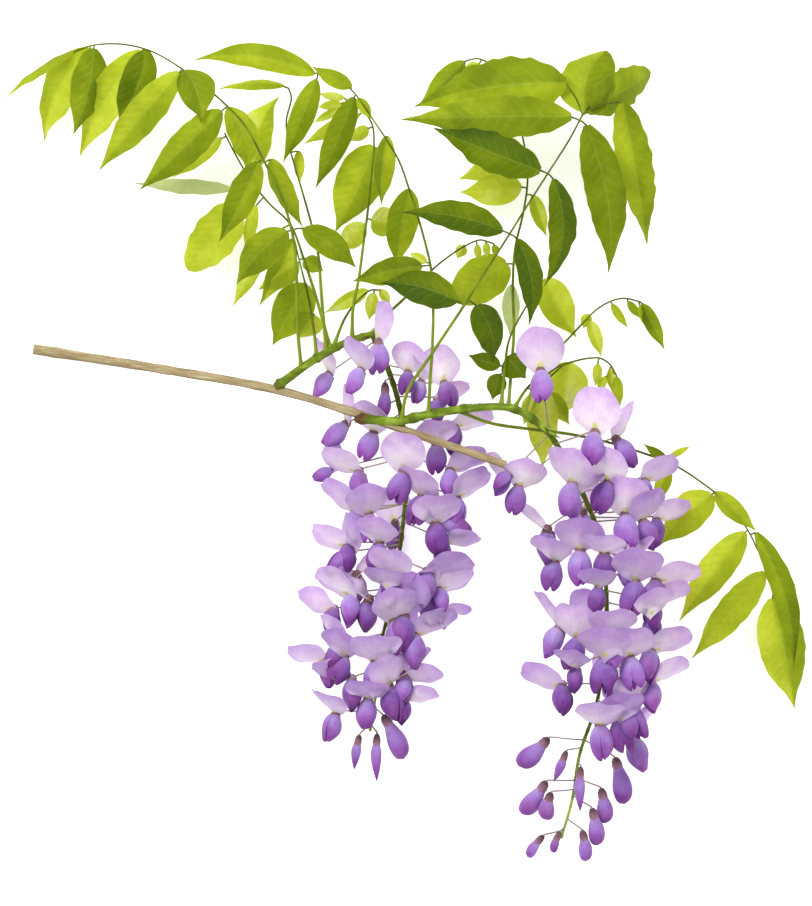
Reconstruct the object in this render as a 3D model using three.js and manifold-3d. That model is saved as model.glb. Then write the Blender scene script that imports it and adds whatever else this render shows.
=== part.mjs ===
// A cut branch of wisteria that lies on a surface: a brown woody stem, two green shoots, compound
// leaves and two racemes of flowers. Millimetres, +Z up, the surface is Z = 0, and the origin is
// at the middle of the branch's outline on that surface.
//
// Rows give a place as [across, down, height]: across and down are measured on the surface from
// the far left corner of the plot that the branch covers, height is measured from the surface.
import * as THREE from "three";
import Module from "manifold-3d";

const wasm = await Module();
wasm.setup();

// ---- Driving dimensions ----

const PLOT_MIDDLE_ACROSS = 202.5;
const PLOT_MIDDLE_DOWN = 226;
const SEAT_GAP = 0.3; // between a piece and the one it grows from
const STEM_FOOT_RADIUS = 2.45;
const STEM_END_RADIUS = 1.9;
const SHOOT_RADIUS = 2.2;
const STALK_RADIUS = 0.95; // a leaf's stalk at its foot
const STALK_END_RADIUS = 0.6;
const LEAFLET_STALK_RADIUS = 0.6;
const ROOT_DEPTH = 0.4; // of a leaflet's stalk behind the middle of the rachis
const BLADE_THICKNESS = 1.2; // at the rib, thinning to the edge
const BLADE_FOLD = 0.16; // drop of a blade's edge for each millimetre from the rib
const FLOWER_SIZE = 12.5; // from the calyx to the tip of the keel
const RACEME_REACH = 31; // from a raceme's axis to its outermost calyx
const PEDICEL_RADIUS = 0.6;
const AXIS_FOOT_RADIUS = 1.5;
const AXIS_END_RADIUS = 0.7;
const BANNER_SHARE = 0.82; // a banner's radius for each millimetre of its flower

// ---- Routes ----

const STEM = [
  [15.5, 174.2, 1.9],
  [36, 177.4, 2.1],
  [80, 184.4, 19],
  [138.5, 195, 39],
  [177.5, 206.5, 51],
  [199.5, 214.2, 57],
  [252.5, 232.3, 67],
];

const LEFT_SHOOT = [
  [138, 193.5, 40],
  [149, 185.5, 43],
  [162, 177, 45],
  [175, 170.5, 47],
  [187, 167, 48],
];

const RIGHT_SHOOT = [
  [178, 209, 51],
  [199.5, 210.5, 59],
  [213.5, 207.5, 62],
  [236.5, 204, 64],
  [254.5, 204, 63],
  [264.5, 208.5, 60],
  [273.5, 216, 56],
];

const LEFT_AXIS = [
  [187.5, 170.5, 45],
  [194, 184.5, 42],
  [200, 204.5, 37],
  [203.5, 238, 31],
  [200.5, 270, 28],
  [196, 300, 26],
  [190.5, 322, 25],
  [187.5, 350, 22],
  [185, 366, 19],
];

const RIGHT_AXIS = [
  [274.6, 217, 55],
  [288, 240, 44],
  [300, 270, 34],
  [303.5, 310, 27],
  [299, 350, 24],
  [290, 378, 20],
  [286.5, 400, 15],
  [281, 420, 11],
];

// ---- Leaves ----
// stalk: the stalk and rachis from the shoot outwards.
// leaflets: [foot across, foot down, tip across, tip down, tip height, width, roll in degrees, bow,
// blunt]: the bow is how far the rib bends to the right of the way from the foot to the tip, and a
// blunt leaflet has a 1.

const LEAVES = {
  leaf_left_arch: {
    stalk: [
      [148.5, 181.5, 46], [149, 165, 56], [148.5, 140, 66], [147, 120, 70], [141.5, 100.5, 70],
      [132, 80.5, 66], [122.5, 63, 62], [110, 50, 58], [90, 34, 52], [75, 25.5, 46],
      [60, 22, 40], [46, 22.5, 35], [38, 25, 32],
    ],
    leaflets: [
      [37, 25.5, 1.5, 49.5, 16, 7, 50],
      [45, 24, 21, 70, -1, 20, 18, 3],
      [47, 24, 36, 67, 22, 18.5, -14, -1],
      [71, 25.5, 39, 78, 6, 20, 12, 3],
      [73.5, 25, 58, 65, 28, 18.5, -20, -1],
      [90, 36.5, 49, 85, 20, 18, 10, -1.5],
      [92.5, 35.5, 101, 62.5, 60, 19, 8, -3.5],
      [111, 56, 69.5, 95, 30, 18, 8],
      [114.5, 54, 123, 86, 38, 15, -6, -3],
      [129.5, 81.5, 109.5, 121, 44, 15.5, -12],
      [136, 80, 152, 114, 52, 12, 24],
      [144, 116, 118.5, 142.5, 52, 18, 6, 2.5],
      [152, 114.5, 178, 134, 50, 14, 8, -1.5],
    ],
  },
  leaf_left_back: {
    stalk: [
      [164.5, 173.5, 41], [159, 152, 36], [152, 130, 31], [145, 112, 28], [134, 101, 26],
      [124, 88, 24], [116, 74, 22], [112, 66, 20],
    ],
    leaflets: [
      [110.5, 68.5, 85.5, 88.5, 10, 9, 14],
      [116, 94, 65, 90.5, 8, 9, -30, 1],
      [119.5, 102.5, 93.5, 134.5, 4, 23, 4, 0, 1],
      [128, 102, 123.5, 127, 10, 7, 16],
      [133, 120, 115.5, 153.5, 6, 10, -12],
      [127, 83, 139.5, 47.5, 18, 18, 10, -5],
    ],
  },
  leaf_left_low: {
    stalk: [
      [158.5, 179, 40], [157, 166, 33], [154, 148, 27], [150.5, 134, 23], [147.5, 122, 20],
    ],
    leaflets: [
      [146.5, 119, 129, 152.5, 9, 12, -10],
      [149, 131, 129, 144.5, 10, 14, 20],
      [153.5, 142, 136, 172.5, 12, 21, 6],
      [157.5, 157, 149, 168.5, 16, 15, -8],
      [152, 129, 161.5, 135, 14, 9, 12],
    ],
  },
  leaf_left_young: {
    stalk: [
      [162, 173.7, 49], [161, 150, 54], [159, 126, 54], [156, 113, 51], [151.5, 97, 44],
      [147, 82, 33], [144, 70, 26], [143, 60, 24], [145.5, 48, 23], [144, 43.5, 23],
    ],
    leaflets: [
      [142, 42.5, 107, 45, 20, 8, 48, 1],
      [149.5, 75, 150, 92, 26, 6, 20],
    ],
  },
  leaf_left_sprig: {
    stalk: [
      [165, 172, 42], [172.5, 159, 38], [179, 150, 35], [185.5, 145, 33], [190, 145, 32],
    ],
    leaflets: [
      [184, 145, 162, 156.5, 26, 8, 20],
      [187, 146, 184.5, 160, 24, 7, 8],
      [190, 144.5, 195, 152, 28, 5, 0],
    ],
  },
  leaf_middle: {
    stalk: [
      [175, 167.5, 50], [176.5, 155, 52], [179.5, 139, 52], [182, 120, 50], [184, 105, 47],
      [186, 85, 44], [187, 72.5, 42], [186, 62, 39], [181, 55, 36], [174, 50.5, 34],
    ],
    leaflets: [
      [172.5, 49, 159, 46.5, 24, 4.5, 10],
      [171, 51.5, 159, 53, 20, 5, -10],
      [172, 54, 156.5, 61, 18, 4.5, 10],
      [180, 57, 151.5, 71.5, 12, 7.5, 0],
      [184.5, 64, 175.5, 70, 22, 7, 8],
      [187, 73, 167.5, 115.5, 16, 24, -4],
      [182.5, 112, 171, 124, 22, 12, 4],
      [185.5, 110, 200, 113, 26, 15, 0],
    ],
  },
  leaf_upper: {
    stalk: [
      [213.5, 205.2, 65], [215, 190, 72], [216, 175, 77], [216.5, 155, 79], [215.5, 135.5, 77],
      [212, 120, 74], [208, 106, 71], [204.5, 95, 68], [199.5, 81, 65], [193, 70, 62],
      [186, 59.5, 59], [178.5, 48.5, 56], [172, 42, 54], [165, 38.5, 52], [159, 37, 51],
    ],
    leaflets: [
      [157.5, 37, 96.5, 30, 34, 13.5, -8, 7],
      [158.5, 40, 141.5, 81, 31, 12.5, 6],
      [176, 44, 155.5, 33.5, 58, 8.5, 0],
      [177, 49, 157.5, 94, 30, 13.5, -10],
      [179, 49.5, 186, 60, 52, 6, 10],
      [194, 68.5, 191, 102.5, 40, 12, 30],
      [204.5, 95, 198, 134, 42, 16, -6],
      [211, 133.5, 176.5, 141, 56, 14, 8],
      [213.5, 132, 205, 127, 66, 5, 0],
    ],
  },
  leaf_right_main: {
    stalk: [
      [200.5, 208, 61.5], [203.5, 196.5, 68], [216, 177, 84], [231, 154.5, 86], [242, 137, 84],
      [253, 120, 80], [263, 104, 75], [273.5, 87.5, 70], [284, 71, 64], [291, 58, 60],
    ],
    leaflets: [
      [292, 57, 303, 25.5, 40, 29, -8, -4, 1],
      [294.5, 54, 325.5, 35.5, 22, 21, 20, 0, 1],
      [285.5, 59, 200, 60, 44, 22, 4, -1],
      [283, 42, 207, 53, 26, 30, 4, 3.5],
      [293, 63, 304.5, 136, 8, 21, -8, -3],
      [311, 51, 324.5, 121.5, -1, 19, 10],
      [270, 86, 216.5, 64, 50, 21, -12],
      [276.5, 90, 271, 144, 38, 15, -22, -5],
      [251, 116, 200.5, 107, 78, 16, -6, 4],
      [258.5, 120, 264, 163, 54, 13, -12, -3.5],
      [238, 153, 246, 182, 64, 16.5, -22, -3],
      [228.5, 151, 190, 142, 74, 18, 4, 2],
    ],
  },
  leaf_right_back: {
    stalk: [
      [254, 201.5, 61], [255.5, 186, 44], [257, 165, 36], [256.5, 145, 32], [257.5, 125, 28],
      [262, 105, 24], [264, 89, 20], [262, 70, 16], [256, 50, 14], [250, 36, 14],
      [245, 31, 15], [239, 28.5, 16], [233.5, 29.5, 16],
    ],
    leaflets: [
      [232.5, 30, 210, 51, 10, 11, 10],
      [240, 31, 231, 39, 10, 8, 0],
      [261, 93, 230, 95.5, 8, 16, 4, -1],
      [266.5, 97, 273.5, 118, 12, 8, -10],
      [254, 131.5, 226, 149.5, 8, 23, 0, 0, 1],
      [256, 142, 255.5, 168.5, 16, 9, 14],
      [259, 78, 229, 89, 6, 12, 0],
    ],
  },
  leaf_right_mid: {
    stalk: [
      [250, 202, 61.5], [251.5, 192, 57], [252.5, 182, 54], [254.5, 170, 48], [262, 155, 40],
      [268, 146, 34],
    ],
    leaflets: [
      [272.5, 139, 288.5, 168.5, 20, 17, 0, 1.5],
      [250, 183, 234, 177.5, 50, 9, -10],
      [253.5, 178.5, 263, 189.5, 56, 15, 6],
      [249.5, 187, 246, 200, 54, 10, 0],
    ],
  },
  leaf_right_low: {
    stalk: [
      [257.5, 202.3, 60], [262, 196, 50], [267, 191, 41], [274, 189, 34], [281, 183, 29],
    ],
    leaflets: [
      [270, 192, 271.5, 234, 14, 16, 4],
      [285, 181, 279, 210, 14, 22, -4],
      [275.5, 196, 285, 212, 20, 9, 12],
      [267.5, 197, 262, 212, 34, 9, 0],
    ],
  },
  leaf_young_far: {
    stalk: [
      [261.5, 207, 58], [267, 192, 54], [272.5, 180, 44], [281.5, 172, 31], [292, 161, 30],
      [298, 155, 30], [305.5, 150.5, 30], [312.5, 149, 29], [319.5, 150.5, 28],
    ],
    leaflets: [
      [295, 160, 301, 178.5, 22, 7, 0],
      [306, 151.5, 314.5, 164, 24, 4.5, 10],
      [314, 150.5, 320, 159, 24, 4.5, -10],
      [320, 152, 325.5, 165, 20, 5, 0],
      [321.5, 151.5, 333, 175, 18, 8, 12],
      [294.5, 157, 292, 164, 26, 6, 10],
    ],
  },
  leaf_young_near: {
    stalk: [
      [265.5, 209, 57], [269.5, 196, 46], [276, 185, 38], [287.5, 180.5, 35], [295, 179, 34],
      [300, 179, 34], [305, 182, 33], [308, 187, 32],
    ],
    leaflets: [
      [299, 181.5, 298, 193, 24, 5, 0],
      [303, 188, 299.5, 196, 26, 4.5, 0],
      [308.5, 188, 310.5, 204, 26, 6, 14],
      [305, 184, 306, 196, 28, 4.5, -12],
    ],
  },
  leaf_middle_young: {
    stalk: [
      [184.5, 164.3, 50], [194, 157, 48], [202.5, 149, 46], [215.5, 135.5, 43], [224, 128.5, 42],
      [232.5, 123, 41], [240, 120, 40], [246, 121.5, 39],
    ],
    leaflets: [
      [232, 122.5, 228.5, 129, 34, 6, 0],
      [238.5, 122, 239, 130, 32, 4, 0],
      [243, 121, 243.5, 128.5, 32, 4, 0],
      [247, 122, 248.5, 128, 34, 4, 0],
    ],
  },
  leaf_far_right: {
    stalk: [
      [228, 208.1, 61], [245, 211.5, 53], [264.5, 214.5, 48], [284.5, 217, 45], [303.5, 221, 43],
      [320, 226, 42], [338, 233, 43], [356.5, 245.5, 45], [365.5, 253, 44], [373.5, 264.5, 41],
      [379, 275, 37], [383.5, 285, 33], [387, 297, 29],
    ],
    leaflets: [
      [356, 247, 330, 273, 28, 19, 6, 2.5],
      [357.5, 245.8, 378.5, 265.5, 40, 10.5, 22, -1],
      [372.5, 266, 340, 311, 18, 17, -4, 1],
      [378, 266, 397.5, 335, 18, 12.5, 14, -6],
      [382.5, 286, 346.5, 330, 8, 16, 0, 1],
      [386.5, 299, 398.5, 355, -1, 24, -6],
      [333, 230, 321, 221.5, 50, 5, 0],
      [334, 229, 345.5, 223, 36, 3.5, 0],
      [334.5, 234, 327.5, 251.5, 32, 8, 8],
    ],
  },
};

// ---- Flowers ----
// [calyx across, calyx down, keel heading, keel rise, roll, size, reflex, height]: headings are
// degrees from across, turning away from the reader, the rise is towards the sky, the roll turns the
// banner about the keel and the reflex tips it back. A row without a height takes the raceme's own.

const LEFT_FLOWERS = [
  [165, 186.5, -132, 14, 10, 1.05, 15],
  [181, 184.5, -128, 16, 0, 1.05, 15],
  [189.5, 171.5, -95, 10, 55, 1.15, 80, 61],
  [204, 186, -100, 30, 0, 0.9, 30, 50],
  [211, 190, -115, 0, 10, 0.9, 30, 46],
  [222, 192, -60, 45, 0, 1.1, 41, 47],
  [218.5, 200, -80, 28, -75, 1, 10, 44],
  [227, 213, -85, 28, -75, 1.15, 5],
  [173, 212, -140, 14, 25, 1.15, 35],
  [187, 216, -112, 15, 0, 1.1, 20],
  [179.5, 236, -100, 30, 65, 1.2, 10],
  [201.5, 236, -98, 20, 0, 1.2, 41],
  [218, 222, -88, 10, 0, 1.1, 20],
  [166, 235, -160, 20, 0, 0.8, 20],
  [178, 255.5, -102, 25, 60, 1.25, 20],
  [184.5, 257, -85, 26, 10, 1.1, 15],
  [225, 235, -85, 28, -70, 1.15, 10],
  [211, 248, -112, 20, 0, 1.15, 12],
  [228, 249, -80, 30, -60, 1.2, 20],
  [220.5, 260, -15, 10, 0, 1.2, 20],
  [217.5, 261.5, -84, 22, 0, 1.25, 12],
  [173.5, 273, -100, 30, 75, 1.1, 10],
  [190, 271, -100, 12, 0, 1.15, 15],
  [222.5, 271, -95, 28, -80, 1, 0],
  [175, 276.5, -150, 15, 0, 1.15, 15],
  [197, 288, -110, 22, 0, 1.2, 10],
  [213.5, 286.5, -88, 28, -80, 1.35, 5],
  [219, 294.5, -75, 30, -75, 1.15, 10],
  [176, 297.5, -105, 28, 65, 1.2, 12],
  [202, 308, -95, 25, 0, 1.35, 41],
  [184.5, 300, -108, -18, 0, 1.25, 25],
  [178.5, 287.5, -80, -20, 0, 1.1, 30],
  [193, 293, -95, 10, 0, 1.05, 15],
  [167, 305, -110, 30, 80, 1.15, 5],
  [223.5, 306, -95, 28, -80, 0.7, 0],
  [212.5, 299, -65, 20, 0, 1.1, 20],
  [207, 317.5, -80, 28, -70, 1.35, 10],
  [163.5, 330, -95, 28, 80, 1.15, 0],
  [170, 322, -125, 15, 20, 1, 15],
  [172.5, 328, -110, 15, 0, 1.1, 15],
  [188, 330.5, -92, 20, 0, 1.35, 8],
  [197, 311, -78, 20, 0, 1.25, 20],
  [201.5, 337.5, -75, -15, 0, 1.1, 25],
  [203, 339.5, -92, 28, -80, 1.05, 0],
  [176, 340, -98, 25, 75, 1.2, 5],
  [202, 350, -88, 28, -80, 1, 0],
  [194, 343, -68, 15, 0, 1.35, 20],
  [184, 349, -92, 15, 0, 1.15, 5],
  [168, 357, -115, 8, 0, 1.1, 10],
];

const RIGHT_FLOWERS = [
  [270, 186, -90, 40, 0, 1.25, 41, 68],
  [297, 216.5, -105, 30, 0, 1.3, 41],
  [308, 220, -50, -8, -45, 1.2, 20],
  [286, 241.5, -110, 22, 0, 1.3, 15],
  [287, 247, -88, -20, 0, 1, 25],
  [304, 241, -115, 22, 0, 1.25, 20],
  [312.5, 257, -92, 25, 0, 1.3, 22],
  [322, 240, -85, 28, -60, 1.1, 15, 50],
  [328, 259.5, -85, 28, -75, 1.05, 10, 47],
  [321, 260, -67, 13, 0, 1.15, 20],
  [259, 243, -100, 25, -30, 1.1, 15],
  [254.5, 237, -140, 28, 90, 1, 0],
  [273.5, 265, -100, -12, 45, 1.25, 25],
  [277.5, 280, -105, 12, 0, 1.15, 10],
  [290, 275, -95, 20, 0, 1.3, 18],
  [302, 276, -95, 10, 0, 1.25, 5],
  [299, 293, -95, 12, 0, 1, 10],
  [313, 280, -80, -18, 0, 1, 25],
  [317, 290, -92, 22, -10, 1.35, 12],
  [328, 290, -92, 28, -80, 1.3, 5],
  [326, 301, -80, 28, -75, 1.15, 8],
  [325, 307, -75, 15, 0, 1.1, 15],
  [280, 313.5, -125, -8, 45, 1.25, 15],
  [289, 319, -108, 20, 0, 1.25, 20],
  [306, 317, -90, 22, 0, 1.25, 6],
  [281, 343, -98, 28, 80, 1.25, 8],
  [288, 333, -105, 10, 0, 1, 10],
  [302, 328, -90, 10, 0, 1.4, 20],
  [314.5, 328, -85, 20, 0, 1.25, 15],
  [325, 325, -85, 28, -78, 1.25, 8],
  [325, 341, -75, 28, -75, 1.25, 8],
  [313, 353, -60, 25, -20, 1.35, 15],
  [300, 362.5, -88, 22, 0, 1.3, 3],
  [309, 360, -80, 15, 0, 1.25, 15],
  [316, 369, -62, 12, 0, 1.35, 15],
];

// [calyx across, calyx down, tip across, tip down, width]
const LEFT_BUDS = [
  [179.5, 368.5, 176, 385, 5],
  [188.5, 368, 187, 391, 5.5],
  [192.5, 192, 193, 209, 7],
  [192, 358.5, 204, 378.5, 10],
];

const RIGHT_BUDS = [
  [274, 370, 261, 385, 10.5],
  [283, 376.5, 278, 391.5, 4.8],
  [308, 380, 315, 402, 10],
  [273, 392, 263, 409, 9.5],
  [275.5, 397.5, 271.5, 410, 8.5],
  [290.5, 384.5, 289, 406, 5.5],
  [301, 395.5, 305, 412, 8.5],
  [296.5, 405.5, 301, 423, 8.5],
  [291.5, 416.5, 295, 431, 7],
  [271.5, 419, 263, 428.5, 5.5],
  [280, 417, 275.5, 426.5, 4.5],
];

// Flowers on the side that faces the surface: [first and last distance down, how many].
const LEFT_BACK = [262, 318, 2];
const RIGHT_BACK = [256, 340, 4];
const BACK_REFLEX = 41;

// ---- Small tools ----

const place = ([across, down, height]) =>
  new THREE.Vector3(across - PLOT_MIDDLE_ACROSS, PLOT_MIDDLE_DOWN - down, height);

// A solid from vertices and triangles that share them.
function solidOf(vertices, triangles) {
  const vertProperties = new Float32Array(vertices.flatMap((v) => [v.x, v.y, v.z]));
  const triVerts = new Uint32Array(triangles.flat());
  const made = new wasm.Manifold(new wasm.Mesh({ numProp: 3, vertProperties, triVerts }));
  if (made.volume() > 0) return made;
  const turned = new Uint32Array(triangles.flatMap(([a, b, c]) => [a, c, b]));
  return new wasm.Manifold(new wasm.Mesh({ numProp: 3, vertProperties, triVerts: turned }));
}

const joined = (solids) => wasm.Manifold.union(solids);

// A closed tube along a route, its radius running evenly from one end's to the other's.
function tube(route, startRadius, endRadius, sides, steps) {
  const curve = new THREE.CatmullRomCurve3(route, false, "centripetal");
  const frames = curve.computeFrenetFrames(steps, false);
  const vertices = [];
  const triangles = [];
  for (let i = 0; i <= steps; i++) {
    const centre = curve.getPointAt(i / steps);
    const radius = THREE.MathUtils.lerp(startRadius, endRadius, i / steps);
    for (let k = 0; k < sides; k++) {
      const turn = (2 * Math.PI * k) / sides;
      vertices.push(
        centre
          .clone()
          .addScaledVector(frames.normals[i], radius * Math.cos(turn))
          .addScaledVector(frames.binormals[i], radius * Math.sin(turn)),
      );
    }
  }
  for (let i = 0; i < steps; i++) {
    for (let k = 0; k < sides; k++) {
      const [a, b] = [i * sides + k, i * sides + ((k + 1) % sides)];
      triangles.push([a, b, b + sides], [a, b + sides, a + sides]);
    }
  }
  const last = steps * sides;
  for (let k = 1; k < sides - 1; k++) {
    triangles.push([0, k + 1, k], [last, last + k, last + k + 1]);
  }
  return solidOf(vertices, triangles);
}

// The place on a route that is nearest to a point on the surface plan.
function nearestOn(route, point) {
  const curve = new THREE.CatmullRomCurve3(route, false, "centripetal");
  const samples = curve.getPoints(160);
  const planDistance = (p) => Math.hypot(p.x - point.x, p.y - point.y);
  return samples.reduce((best, p) => (planDistance(p) < planDistance(best) ? p : best));
}

// Half width of a leaflet at t along its rib, with 1 as the widest.
function outline(t, blunt) {
  if (blunt) return Math.sin(Math.PI * Math.pow(t, 0.8)) ** 0.55;
  const body = Math.sin(Math.PI * Math.pow(t, 0.7)) ** 0.8;
  return body * (1 - 0.62 * THREE.MathUtils.smoothstep(t, 0.6, 1));
}

const BLADE_STATIONS = [0.2, 0.52, 0.82];
const SMALL_BLADE_STATIONS = [0.3, 0.7];
const SMALL_BLADE = 12.5; // width
const SHORT_STALK = 2.5; // a leaflet's stalk that needs no ring of its own at the blade
const RIB_ARCH = 0.32; // height of the rib's arch for each millimetre of t(1 - t)

// Rings of three or four corners joined one to the next, flat at the first and pointed at the
// end. The split of each side is the same on the upper and the lower face.
function spindle(rings, end) {
  const sides = rings[0].length;
  const vertices = [...rings.flat(), end];
  const last = vertices.length - 1;
  const triangles = [];
  for (let k = 1; k < sides - 1; k++) triangles.push([0, k, k + 1]);
  for (let k = 0; k < sides; k++) {
    const next = (k + 1) % sides;
    triangles.push([last, last - sides + next, last - sides + k]);
    for (let s = 0; s < rings.length - 1; s++) {
      const [a, b] = [sides * s + k, sides * s + next];
      if (k % 2 === 1) triangles.push([a, a + sides, b + sides], [a, b + sides, b]);
      else triangles.push([a, a + sides, b], [b, a + sides, b + sides]);
    }
  }
  return solidOf(vertices, triangles);
}

// A leaflet: a short stalk that starts inside the rachis, then a blade whose rib arches over,
// with an edge on each side.
function leaflet(seat, foot, tip, width, roll, bow = 0, blunt = 0) {
  const along = tip.clone().sub(foot);
  const length = along.length();
  along.normalize();
  const up = new THREE.Vector3(0, 0, 1).addScaledVector(along, -along.z).normalize();
  up.applyAxisAngle(along, THREE.MathUtils.degToRad(roll));
  const across = along.clone().cross(up);
  const ring = (rib, half, fold) => [
    rib.clone().addScaledVector(across, half).addScaledVector(up, -fold * half),
    rib.clone().addScaledVector(up, BLADE_THICKNESS / 2),
    rib.clone().addScaledVector(across, -half).addScaledVector(up, -fold * half),
  ];
  const rings = [ring(seat, LEAFLET_STALK_RADIUS, 1)];
  if (seat.distanceTo(foot) > SHORT_STALK) rings.push(ring(foot, LEAFLET_STALK_RADIUS, 1));
  for (const t of width > SMALL_BLADE ? BLADE_STATIONS : SMALL_BLADE_STATIONS) {
    const rib = foot.clone().addScaledVector(along, length * t);
    rib.addScaledVector(up, RIB_ARCH * length * t * (1 - t));
    rib.addScaledVector(across, bow * 4 * t * (1 - t));
    rings.push(ring(rib, (width / 2) * outline(t, blunt), BLADE_FOLD));
  }
  return spindle(rings, tip);
}

// The point on the middle line of the nearest shoot.
function onShoot(point) {
  const seats = [LEFT_SHOOT, RIGHT_SHOOT].map((rows) => nearestOn(rows.map(place), point));
  return seats.reduce((a, b) => (a.distanceTo(point) < b.distanceTo(point) ? a : b));
}

// ---- Leaves ----

function leaf({ stalk, leaflets }) {
  const [first, ...rest] = stalk.map(place);
  const route = [onShoot(first), ...rest];
  const parts = [tube(route, STALK_RADIUS, STALK_END_RADIUS, 3, route.length)];
  for (const [footAcross, footDown, tipAcross, tipDown, tipHeight, ...blade] of leaflets) {
    const seat = nearestOn(route, place([footAcross, footDown, 0]));
    const foot = place([footAcross, footDown, seat.z]);
    const tip = place([tipAcross, tipDown, tipHeight]);
    const rooted = seat.clone().addScaledVector(foot.clone().sub(seat).normalize(), -ROOT_DEPTH);
    parts.push(leaflet(rooted, foot, tip, ...blade));
  }
  return joined(parts);
}

// ---- Flowers ----

// A three-sided ring: two upper corners and the keel's edge below.
function keelRing(centre, side, up, halfWidth, depth) {
  return [
    centre.clone().addScaledVector(side, halfWidth).addScaledVector(up, depth * 0.45),
    centre.clone().addScaledVector(side, -halfWidth).addScaledVector(up, depth * 0.45),
    centre.clone().addScaledVector(up, -depth),
  ];
}

// A pedicel from its seat on the axis that swells into a calyx and then into the folded wings and
// keel, or into a closed bud: rings are [share of the length, half width, depth].
function bloomBody(seat, calyx, { forward, up, side }, length, rings) {
  const stalk = calyx.clone().sub(seat).normalize();
  const stalkSide = side.clone().addScaledVector(stalk, -side.dot(stalk)).normalize();
  const stalkUp = stalkSide.clone().cross(stalk);
  const root = keelRing(seat, stalkSide, stalkUp, PEDICEL_RADIUS, PEDICEL_RADIUS);
  const body = rings.map(([share, halfWidth, depth]) =>
    keelRing(calyx.clone().addScaledVector(forward, share * length), side, up, halfWidth, depth),
  );
  return spindle([root, ...body], calyx.clone().addScaledVector(forward, length));
}

const CALYX_RING = [-0.1, 0.1, 0.1];
const KEEL_RINGS = [CALYX_RING, [0.08, 0.23, 0.2], [0.62, 0.42, 0.36]];
const BUD_RINGS = [[0, 0.3, 0.3], [0.62, 0.5, 0.45]];

// The banner: a round plate that stands up behind the keel, its sides folded back a little.
const BANNER_TURNS = [-90, -18, 54, 126, 198];

function banner(foot, up, side, facing, radius) {
  const centre = foot.clone().addScaledVector(up, radius * 0.82);
  const rim = BANNER_TURNS.map((degrees) => {
    const turn = THREE.MathUtils.degToRad(degrees);
    return centre
      .clone()
      .addScaledVector(side, radius * Math.cos(turn))
      .addScaledVector(up, radius * 0.88 * Math.sin(turn))
      .addScaledVector(facing, -radius * 0.22 * Math.abs(Math.cos(turn)));
  });
  const front = centre.clone().addScaledVector(facing, 0.5);
  const behind = centre.clone().addScaledVector(facing, -0.9);
  const triangles = rim.flatMap((_, k) => {
    const next = (k + 1) % rim.length;
    return [[rim.length, k, next], [rim.length + 1, next, k]];
  });
  return solidOf([...rim, front, behind], triangles);
}

// The directions of a flower: forward along its keel, up towards its banner, and across.
function flowerAxes(heading, rise, roll) {
  const turn = THREE.MathUtils.degToRad(heading);
  const lift = THREE.MathUtils.degToRad(rise);
  const forward = new THREE.Vector3(
    Math.cos(turn) * Math.cos(lift),
    Math.sin(turn) * Math.cos(lift),
    Math.sin(lift),
  );
  const up = new THREE.Vector3(0, 1, 0.35);
  up.addScaledVector(forward, -up.dot(forward)).normalize();
  up.applyAxisAngle(forward, THREE.MathUtils.degToRad(roll));
  return { forward, up, side: forward.clone().cross(up) };
}

function flower(calyx, seat, [heading, rise, roll, scale, reflex]) {
  const size = FLOWER_SIZE * scale;
  const axes = flowerAxes(heading, rise, roll);
  const { forward, up, side } = axes;
  const rings = KEEL_RINGS.map(([share, half, depth]) => [share, half * size, depth * size]);
  const tip = THREE.MathUtils.degToRad(reflex);
  const tall = up.clone().multiplyScalar(Math.cos(tip)).addScaledVector(forward, -Math.sin(tip));
  const facing = tall.clone().cross(side);
  return [
    bloomBody(seat, calyx, axes, size * 1.12, rings),
    banner(calyx.clone().addScaledVector(up, -size * 0.05), tall, side, facing, size * BANNER_SHARE),
  ];
}

function bud(calyx, tip, width, seat) {
  const along = tip.clone().sub(calyx);
  const length = along.length();
  along.normalize();
  const side = along.clone().cross(new THREE.Vector3(0, 0, 1)).normalize();
  const up = side.clone().cross(along);
  const rings = BUD_RINGS.map(([share, half, depth]) => [share, half * width, depth * width]);
  return [bloomBody(seat, calyx, { forward: along, up, side }, length, rings)];
}

// A point of a raceme's flowers: as far above or below the axis as its length of pedicel allows.
function onRaceme(route, across, down, sign, reach) {
  const plan = place([across, down, 0]);
  const axis = nearestOn(route, plan);
  const beside = Math.hypot(plan.x - axis.x, plan.y - axis.y);
  const lift = 0.8 * Math.sqrt(Math.max(0, reach * reach - beside * beside));
  const calyx = new THREE.Vector3(plan.x, plan.y, axis.z + sign * lift);
  const seatPlan = new THREE.Vector3(axis.x, axis.y + Math.min(7, 0.25 * (beside + lift)), 0);
  return { calyx, seat: nearestOn(route, seatPlan) };
}

// A seeded draw, evenly spread from 0 to 1.
function drawFrom(seed) {
  let state = seed;
  return () => {
    state = (state * 16807) % 2147483647;
    return state / 2147483647;
  };
}

function reachAt(down, rows) {
  const share = (down - rows.top) / (rows.bottom - rows.top);
  return RACEME_REACH * (1 - 0.55 * THREE.MathUtils.smoothstep(share, 0.45, 1.1));
}

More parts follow.
